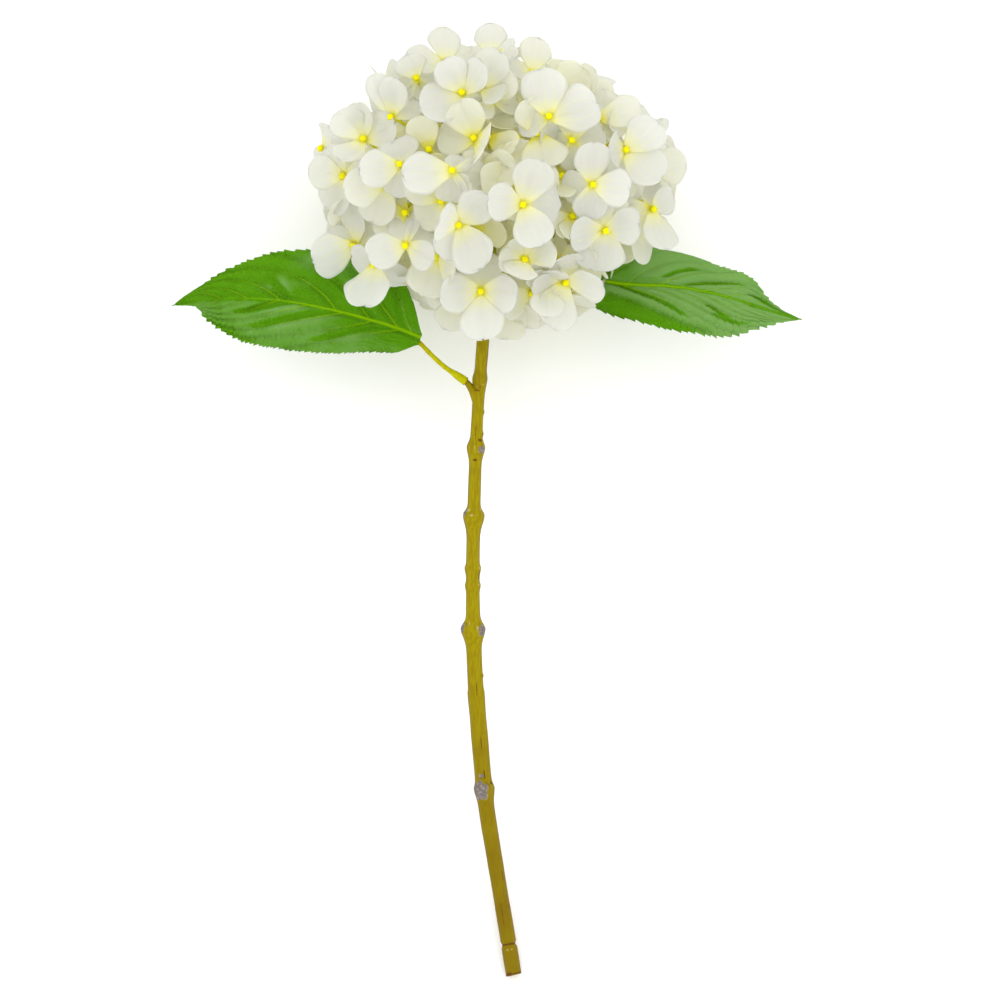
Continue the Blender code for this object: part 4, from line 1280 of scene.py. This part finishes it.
@dataclass(frozen=True)
class Half:
    """One half of a blade. Shares run from 0 at its foot to 1 at its tip, and from 0 at the midrib to 1 at the margin.

    The widths are (share, millimetres) pairs. A vein is its foot's share, its slope and its bend, and a fold is the
    same, and then where it starts and ends. A patch of bloom and painted sheen is its middle's two shares, its two
    reaches, and how strong it is. The half's bloom is partly the cloth's grey-green bloom and partly painted sheen.
    """

    widths: tuple[tuple[float, float], ...]
    veins: tuple[tuple[float, float, float], ...]
    folds: tuple[tuple[float, float, float, float, float], ...]
    patches: tuple[tuple[float, float, float, float, float], ...]
    bloom: float
    teeth: int
    tooth: float
    toothed: tuple[float, float]
    quilt: float

    def margin(self, share: Array, phase: float) -> tuple[Array, Array]:
        """The toothed margin.

        Args:
            share: The share of the length at each row.
            phase: Where the first tooth starts.

        Returns:
            How far out the margin is at each row, and how far it is pushed forward.
        """
        # The widths are smoothed, and each tooth then rises slowly and falls back quickly.
        width = np.interp(share, [x for x, _ in self.widths], [w for _, w in self.widths])
        kernel = np.hanning(21) / np.hanning(21).sum()
        soft = np.convolve(np.pad(width, 10, "edge"), kernel, "valid")
        soft = soft * np.clip((1 - share) / 0.02, 0, 1) ** 0.7
        count = self.teeth * (share + 0.006 * np.sin(share * 19 + phase) + 0.004 * np.sin(share * 53 + phase)) + phase
        saw = count % 1.0
        grown = np.where(saw < 0.86, (saw / 0.86) ** 1.2, (1.0 - saw) / 0.14)
        start, stop = self.toothed
        size = self.tooth * (0.78 + 0.34 * np.sin(np.floor(count) * 2.4))
        size = size * np.clip((share - start) / 0.06, 0.0, 1.0) * np.clip((stop - share) / 0.06, 0.0, 1.0)
        return soft + size * (grown - 0.45), size * 0.6 * grown

    @staticmethod
    def distance(line: Sequence[float], along: Array, out: Array, reach: Array, length: float) -> Array:
        """How far points are from a vein or a fold.

        Args:
            line: Its foot, slope and bend.
            along: Each point's share of the length.
            out: Each point's share of the half-width.
            reach: The half-width there.
            length: The blade's length.

        Returns:
            The distance in millimetres, more than 0 on the side of the tip.
        """
        foot, slope, bend = line[:3]
        steep = length * (slope + 2 * bend * out)
        width = np.maximum(reach, 2.0)
        return (along - foot - slope * out - bend * out**2) * length * width / np.hypot(width, steep)

    def relief(self, along: Array, out: Array, reach: Array, length: float) -> dict[str, Array]:
        """The embossing and the values of the half.

        Args:
            along: Each point's share of the length.
            out: Each point's share of the half-width.
            reach: The half-width there.
            length: The blade's length.

        Returns:
            The height, and the vein, bloom and pillow values.
        """
        # Side veins thin out towards the margin, and veinlets cross the pillows between them.
        off = [self.distance(vein, along, out, reach, length) for vein in self.veins]
        thick = 0.62 - 0.34 * out
        lines = [np.exp(-((d / thick) ** 2)) * np.clip(1.05 - 0.75 * out, 0.2, 0.9) * np.clip(1.2 - 0.7 * vein[0], 0, 1)
                 for d, vein in zip(off, self.veins)]
        side = np.max(lines, axis=0)
        edges = [off[0] + 9.0, *off, off[-1] - 9.0]
        phase = sum(np.clip(a / np.maximum(a - b, 0.3), 0.0, 1.0) for a, b in zip(edges, edges[1:]))
        pillow = np.abs(np.sin(math.pi * phase)) ** 0.7
        rung = out * reach / 3.1 + 0.3 * np.sin(phase * 7.0) + 0.35 * np.sin(along * 41)
        cross = np.exp(-((np.abs(rung - np.round(rung)) * 3.1 / 0.24) ** 2)) * 0.30 * pillow
        small = np.abs(np.sin(math.pi * rung)) * pillow
        # A fold is a crease with a crest beside it. The crease is painted a fuller green as painted shade, and the
        # crest greyer as painted sheen.
        fold, crest = np.zeros_like(along), np.zeros_like(along)
        for line in self.folds:
            d = self.distance(line, along, out, reach, length)
            window = np.clip((out - line[3]) / 0.08 + 0.5, 0, 1) * np.clip((line[4] - out) / 0.15 + 0.5, 0, 1)
            fold = np.maximum(fold, np.exp(-((d / 1.5) ** 2)) * window)
            crest = np.maximum(crest, np.exp(-(((d + 3.4) / 2.2) ** 2)) * window)
        bloom = self.bloom + 0.35 * crest - 1.3 * fold
        for middle, outer, reach_along, reach_out, strength in self.patches:
            spot = ((along - middle) / reach_along) ** 2 + ((out - outer) / reach_out) ** 2
            bloom = bloom + strength * np.exp(-spot)
        fade = np.clip((1 - along) / 0.15, 0, 1) * np.clip(out * reach / 3.0, 0, 1)
        height = self.quilt * (pillow * 0.75 + small * 0.25) * fade * np.minimum(1.0, reach / 15.0)
        height = height + (0.8 * crest - 1.5 * fold) * fade - 0.25 * side * fade
        bloom = np.clip(bloom, 0.0, 1.25)
        return {"height": height, "vein": np.maximum(side, cross), "bloom": bloom, "pillow": pillow}


@dataclass(frozen=True)
class LeafShape:
    """The shape of one leaf, in the plant's frame and in millimetres."""

    side: str
    mouth: tuple[float, float, float]
    way: tuple[float, float, float]
    midrib: tuple[tuple[float, float, float], ...]
    upper: Half
    lower: Half
    roll: float
    joins: float


LEFT_LEAF = LeafShape(
    side="left", mouth=(-18.0, -110.0, 0.5), way=(-0.82, 0.56, 0.08), joins=0.09, roll=0.0,
    midrib=((-42.9, -85.6, 1), (-54.5, -81.0, 1.6), (-69, -76.3, 2.5), (-98, -69, 3), (-128, -64.5, 0),
            (-164, -64.5, -8), (-180, -68, -13)),
    upper=Half(
        widths=((0, 1.0), (0.034, 8.3), (0.075, 16.7), (0.12, 24.5), (0.2, 31.0), (0.3, 33.2), (0.4, 32.6), (0.5, 29.9),
                (0.6, 26.3), (0.7, 20.5), (0.8, 13.6), (0.9, 5.3), (1, 0)),
        veins=((0.03, 0.12, 0.05), (0.09, 0.25, 0.12), (0.21, 0.26, 0.15), (0.345, 0.20, 0.30), (0.565, 0.25, 0.10),
               (0.695, 0.22, 0.08), (0.80, 0.15, 0.05)),
        folds=((0.075, 0.12, 0.0, 0.10, 0.75), (0.20, 0.26, 0.15, 0.02, 0.50), (0.53, 0.15, 0.05, 0.05, 0.55)),
        patches=((0.42, 0.80, 0.12, 0.22, 0.75), (0.50, 0.35, 0.10, 0.12, 0.35), (0.62, 0.25, 0.05, 0.12, 0.45),
                 (0.30, 0.45, 0.05, 0.2, 0.4)),
        bloom=0.05, teeth=36, tooth=1.25, toothed=(0.0, 0.88), quilt=0.8),
    lower=Half(
        widths=((0, 4.0), (0.014, 6.1), (0.067, 13.2), (0.1, 14.8), (0.2, 18.5), (0.3, 23.2), (0.4, 25.7),
                (0.5, 26.8), (0.6, 26.5), (0.7, 24.3), (0.8, 17.4), (0.86, 10.6), (0.9, 3.9), (1, 0)),
        veins=((0.085, 0.15, 0.30), (0.20, 0.15, 0.45), (0.31, 0.43, 0.14), (0.45, 0.50, 0.02), (0.57, 0.45, 0.0),
               (0.69, 0.35, 0.0), (0.80, 0.20, 0.0)),
        folds=((0.14, 0.27, 0.12, 0.15, 0.70), (0.35, 0.50, 0.0, 0.08, 0.60), (0.535, 0.55, 0.0, 0.02, 0.32)),
        patches=((0.12, 0.15, 0.14, 0.40, -0.7), (0.28, 0.10, 0.12, 0.2, -0.5), (0.02, 0.6, 0.05, 0.6, -0.6),
                 (0.75, 0.95, 0.15, 0.15, -0.3)),
        bloom=0.55, teeth=50, tooth=1.5, toothed=(0.05, 0.93), quilt=1.5))
RIGHT_LEAF = LeafShape(
    side="right", mouth=(0.5, -80.5, -1.0), way=(0.86, 0.5, -0.08), joins=0.02, roll=-22.0,
    midrib=((50.5, -54.0, -6), (73.3, -56.7, -5), (89.4, -57.3, -5), (104.6, -58.9, -6), (120.7, -62.2, -8),
            (133.9, -66.0, -10), (145.3, -69.8, -13), (166.6, -75.8, -18)),
    upper=Half(
        widths=((0, 8.0), (0.05, 16.0), (0.1, 20.0), (0.2, 21.8), (0.3, 21.0), (0.4, 19.5), (0.5, 17.3), (0.57, 15.4),
                (0.62, 15.5), (0.66, 16.0), (0.72, 14.2), (0.76, 11.6), (0.8, 7.9), (0.85, 4.4), (0.9, 2.4), (1, 0)),
        veins=((0.03, 0.20, 0.10), (0.17, 0.10, 0.28), (0.31, 0.30, 0.05), (0.405, 0.35, 0.10), (0.515, 0.33, 0.10),
               (0.62, 0.28, 0.08), (0.73, 0.20, 0.05)),
        folds=((0.305, 0.05, 0.32, 0.25, 0.68), (0.40, 0.38, 0.15, 0.10, 0.62), (0.62, 0.35, 0.0, 0.35, 0.8)),
        patches=((0.06, 0.35, 0.16, 0.45, -1.1), (0.30, 0.12, 0.10, 0.14, -0.6), (0.73, 0.95, 0.05, 0.25, -0.6)),
        bloom=1.30, teeth=34, tooth=0.9, toothed=(0.50, 0.90), quilt=0.9),
    lower=Half(
        widths=((0, 13.5), (0.04, 17.5), (0.1, 20.6), (0.2, 23.2), (0.3, 26.6), (0.4, 28.4), (0.5, 28.6), (0.6, 27.4),
                (0.7, 22.5), (0.8, 13.4), (0.9, 5.6), (1, 0)),
        veins=((0.02, 0.10, 0.55), (0.13, 0.70, -0.10), (0.24, 0.72, -0.10), (0.36, 0.68, 0.0), (0.48, 0.60, 0.0),
               (0.60, 0.50, 0.0), (0.72, 0.35, 0.0)),
        folds=((0.09, 0.70, -0.22, 0.0, 0.62), (0.42, 0.45, 0.0, 0.28, 0.52), (0.30, 0.62, 0.0, 0.45, 0.70)),
        patches=((0.12, 0.70, 0.24, 0.40, -1.1), (0.40, 0.95, 0.22, 0.22, -0.8), (0.35, 0.15, 0.25, 0.2, 0.2)),
        bloom=1.10, teeth=27, tooth=2.0, toothed=(0.0, 0.93), quilt=1.2))


@dataclass
class Leaf:
    """One leaf: an embossed cloth blade with a toothed margin, and its moulded petiole."""

    plant: Plant
    shape: LeafShape
    cloth: bpy.types.Material
    plastic: bpy.types.Material
    fold: float = math.radians(10.0)
    rib_width: float = 0.95
    rows: int = 420
    columns: int = 91
    thickness: float = 0.35
    rib_radius: float = 1.15
    rib_gap: float = 0.75
    rib_end: float = 0.72
    rib_steps: int = 60
    bend_steps: int = 40
    sleeve_steps: tuple[float, ...] = (0.0, 0.0001, 0.25, 2.0, 5.0, 7.4, 9.2, 10.8)
    sleeve_radii: tuple[float, ...] = (1.75, 2.2, 2.38, 2.35, 2.2, 1.95, 1.6, 1.42)
    sleeve_stain: tuple[float, ...] = (0.9, 0.9, 0.5, 0.1, 0.1, 0.15, 0.3, 0.3)

    def spine(self) -> tuple[Array, Array, Array, Array]:
        """The blade's middle line.

        Returns:
            Its points, and the way along, the way across and the way up at each.
        """
        line = catmull(np.array(self.shape.midrib, dtype=float), 12)
        run = np.concatenate([[0], np.cumsum(np.linalg.norm(np.diff(line, axis=0), axis=1))])
        at = np.linspace(0.0, run[-1], self.rows)
        centre = np.stack([np.interp(at, run, line[:, k]) for k in range(3)], axis=1)
        way = np.gradient(centre, axis=0)
        kernel = np.ones(31) / 31
        way = np.stack([np.convolve(np.pad(way[:, k], 15, "edge"), kernel, "valid") for k in range(3)], axis=1)
        way /= np.linalg.norm(way, axis=1)[:, None]
        side = np.cross([0.0, 0.0, 1.0], way) * math.copysign(1.0, way[0, 0])
        side /= np.linalg.norm(side, axis=1)[:, None]
        roll = math.radians(self.shape.roll)
        side = side * math.cos(roll) + np.cross(way, side) * math.sin(roll)
        up = np.cross(way, side)
        up *= np.sign(up[:, 2:3])
        return centre, way, side, up

    def build(self) -> tuple[bpy.types.Object, bpy.types.Object]:
        """Makes the leaf.

        Returns:
            Its blade and its petiole.
        """
        centre, way, side, up = self.spine()
        share = np.linspace(0.0, 1.0, self.rows)
        length = float(np.linalg.norm(np.diff(centre, axis=0), axis=1).sum())
        t = np.linspace(-1.0, 1.0, self.columns)
        t = np.sign(t) * np.abs(t) ** 1.15
        s, v = np.meshgrid(share, t, indexing="ij")
        # The two halves meet at the midrib.
        values = {name: np.zeros_like(s) for name in ("height", "vein", "bloom", "pillow")}
        reach, push = np.zeros_like(s), np.zeros_like(s)
        for half, phase, mask in ((self.shape.upper, 0.0, v > 0), (self.shape.lower, 0.4, v <= 0)):
            edge, forward = half.margin(share, phase)
            wide = np.repeat(edge[:, None], self.columns, axis=1)
            reach = np.where(mask, wide, reach)
            push = np.where(mask, forward[:, None], push)
            for name, stored in half.relief(s, np.abs(v), wide, length).items():
                values[name] = np.where(mask, stored, values[name])
        out = np.abs(v) * reach
        # The midrib stands in a shallow valley, and the margin waves a little.
        rib = np.exp(-((out / (self.rib_width * (1.12 - s))) ** 2))
        values["vein"] = np.maximum(values["vein"], rib * np.clip(1.5 - 1.25 * s, 0.3, 1.2))
        wave = 0.8 * np.sin(s * 21 + 3 * np.sign(v)) * (np.abs(v) ** 3) * np.minimum(1, reach / 20)
        z = values.pop("height") + 0.35 * rib - 0.5 * np.exp(-(((out - 1.6) / 0.9) ** 2)) * (1 - s) + wave
        points = centre[:, None, :] + (push * np.abs(v) ** 6)[..., None] * way[:, None, :]
        points = points + (v * reach * math.cos(self.fold))[..., None] * side[:, None, :]
        points = points + (out * math.sin(self.fold) + z)[..., None] * up[:, None, :]
        values["bloom"] = values["bloom"] * np.clip(out / 2.0, 0, 1)
        mesh = MeshBuilder()
        mesh.grid(self.plant.to_world(points), values)
        blade = mesh.make(f"blade_{self.shape.side}", self.cloth)
        thicken(blade, self.thickness)
        return blade, self.stalk(centre, way, up)

    def stalk(self, centre: Array, way: Array, up: Array) -> bpy.types.Object:
        """Makes the petiole, from its sleeve to where it ends behind the blade.

        Args:
            centre: The blade's middle line.
            way: The way along it.
            up: The way up from it.

        Returns:
            The petiole.
        """
        mouth, forward = np.array(self.shape.mouth), np.array(self.shape.way)
        forward = forward / np.linalg.norm(forward)
        rows = (np.linspace(self.shape.joins, self.rib_end, self.rib_steps) * (self.rows - 1)).astype(int)
        radii = self.rib_radius * np.linspace(1.0, 0.28, self.rib_steps)
        under = centre[rows] - (self.rib_gap + radii)[:, None] * up[rows]
        sleeve = mouth + np.array(self.sleeve_steps)[:, None] * forward
        end = sleeve[-1] + forward
        gap = float(np.linalg.norm(under[0] - end))
        handles = end + 0.36 * gap * forward, under[0] - 0.30 * gap * way[rows[0]]
        curve = bezier(end, *handles, under[0], self.bend_steps)
        line = np.vstack([sleeve, curve, under[1:]])
        lumps = 0.05 * np.sin(np.arange(self.bend_steps) * 0.9)
        bend = np.linspace(1.36, self.rib_radius, self.bend_steps) + lumps
        radius = np.concatenate([self.sleeve_radii, bend, radii[1:]])
        stain = np.concatenate([self.sleeve_stain, np.linspace(0.25, 0.0, self.bend_steps), 0.0 * radii[1:]])
        mesh = MeshBuilder()
        mesh.tube(self.plant.to_world(line), radius, 24, {"stain": stain})
        return mesh.make(f"stalk_{self.shape.side}", self.plastic)


# ---------------------------------------------------------------- studio


class Light(Enum):
    """The lights of the studio: place, size and power."""

    KEY = ((-0.4, 0.6, 2.2), 2.4, 10.0)
    FILL = ((0.9, -0.5, 1.6), 2.0, 4.0)


@dataclass
class Studio:
    """The pale floor, the soft light and the camera.

    The view's sizes are in millimetres, and the rest in metres.
    """

    plant: Plant
    view_centre: tuple[float, float, float] = (0.55, -175.0, 0.0)
    view_width: float = 550.0
    distance: float = 24000.0
    sensor: float = 36.0
    floor_half: float = 6.0
    floor_height: float = -0.0004
    surrounding: float = 1.18

    def build(self) -> None:
        """Makes the floor, the lights, the surrounding light and the camera."""
        mesh = bpy.data.meshes.new("floor")
        corners = [(x * self.floor_half, y * self.floor_half, self.floor_height)
                   for x, y in ((-1, -1), (1, -1), (1, 1), (-1, 1))]
        mesh.from_pydata(corners, [], [(0, 1, 2, 3)])
        mesh.materials.append(PlainFloor().build())
        floor = bpy.data.objects.new("floor", mesh)
        bpy.context.scene.collection.objects.link(floor)
        for light in Light:
            self.add_light(light)
        self.add_world()
        self.add_camera()

    @staticmethod
    def add_light(light: Light) -> None:
        """Makes one square light that points at the object.

        Args:
            light: Which light.
        """
        place, size, power = light.value
        data = bpy.data.lights.new(light.name.lower(), "AREA")
        data.size, data.energy = size, power
        made = bpy.data.objects.new(light.name.lower(), data)
        made.location = place
        made.rotation_euler = (Vector((0, 0, 0.05)) - Vector(place)).to_track_quat("-Z", "Y").to_euler()
        bpy.context.scene.collection.objects.link(made)

    def add_world(self) -> None:
        """Makes the even light that comes from all round, and lets it pass through several sepals."""
        world = bpy.data.worlds.new("studio")
        world.use_nodes = True
        back = world.node_tree.nodes["Background"]
        back.inputs["Color"].default_value = (1.0, 1.0, 1.0, 1.0)
        back.inputs["Strength"].default_value = self.surrounding
        bpy.context.scene.world = world
        bpy.context.scene.view_settings.view_transform = "Standard"
        bounces = bpy.context.scene.cycles
        bounces.max_bounces, bounces.diffuse_bounces, bounces.transmission_bounces = 16, 8, 12

    def add_camera(self) -> None:
        """Makes the camera, which looks straight along the plant's own depth."""
        turn = Matrix(self.plant.turn().tolist())
        data = bpy.data.cameras.new("camera")
        data.sensor_width = self.sensor
        data.lens = self.sensor * self.distance / self.view_width
        data.clip_end = 100.0
        camera = bpy.data.objects.new("camera", data)
        target = Vector(self.plant.to_world(np.array(self.view_centre)).tolist())
        place = (target + turn @ Vector((0.0, 0.0, self.distance))) * MM
        camera.matrix_world = Matrix.Translation(place) @ turn.to_4x4()
        bpy.context.scene.collection.objects.link(camera)
        bpy.context.scene.camera = camera


def report(part: str, pieces: Sequence[bpy.types.Object]) -> None:
    """Reports the pieces of one part of the flower.

    Args:
        part: The part's name.
        pieces: Its objects.
    """
    for piece in pieces:
        LOG.info("%s: %s, %d points", part, piece.name, len(piece.data.vertices))


def main() -> None:
    """Builds the studio, the stem, the leaves and the head, in this order."""
    logging.basicConfig(level=logging.INFO, format="%(name)s: %(message)s")
    nodes = {name: bpy.data.objects[name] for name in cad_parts}
    plant = Plant()
    Studio(plant).build()
    plastic = StemPlastic().build()
    stalks = StemPlastic("petiole_plastic", base=(0.40, 0.38, 0.0), light=(0.50, 0.49, 0.0)).build()
    stem = Stem(plant, plastic).build()
    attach(stem, "root")
    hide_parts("stem")
    report("stem", [stem])
    cloth = LeafCloth().build()
    for shape in (LEFT_LEAF, RIGHT_LEAF):
        blade, stalk = Leaf(plant, shape, cloth, stalks).build()
        for piece, node, slot in ((blade, "leaf", "leaf"), (stalk, "petiole", "petiole")):
            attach(piece, "root")
            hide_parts(f"{node}_{shape.side}")
        report(f"{shape.side} leaf", [blade, stalk])
    head = Head(plant, Floret(SepalCloth().build()), Branches(BranchPlastic().build()))
    report("head", head.build(nodes))


if __name__ == "__main__":
    main()
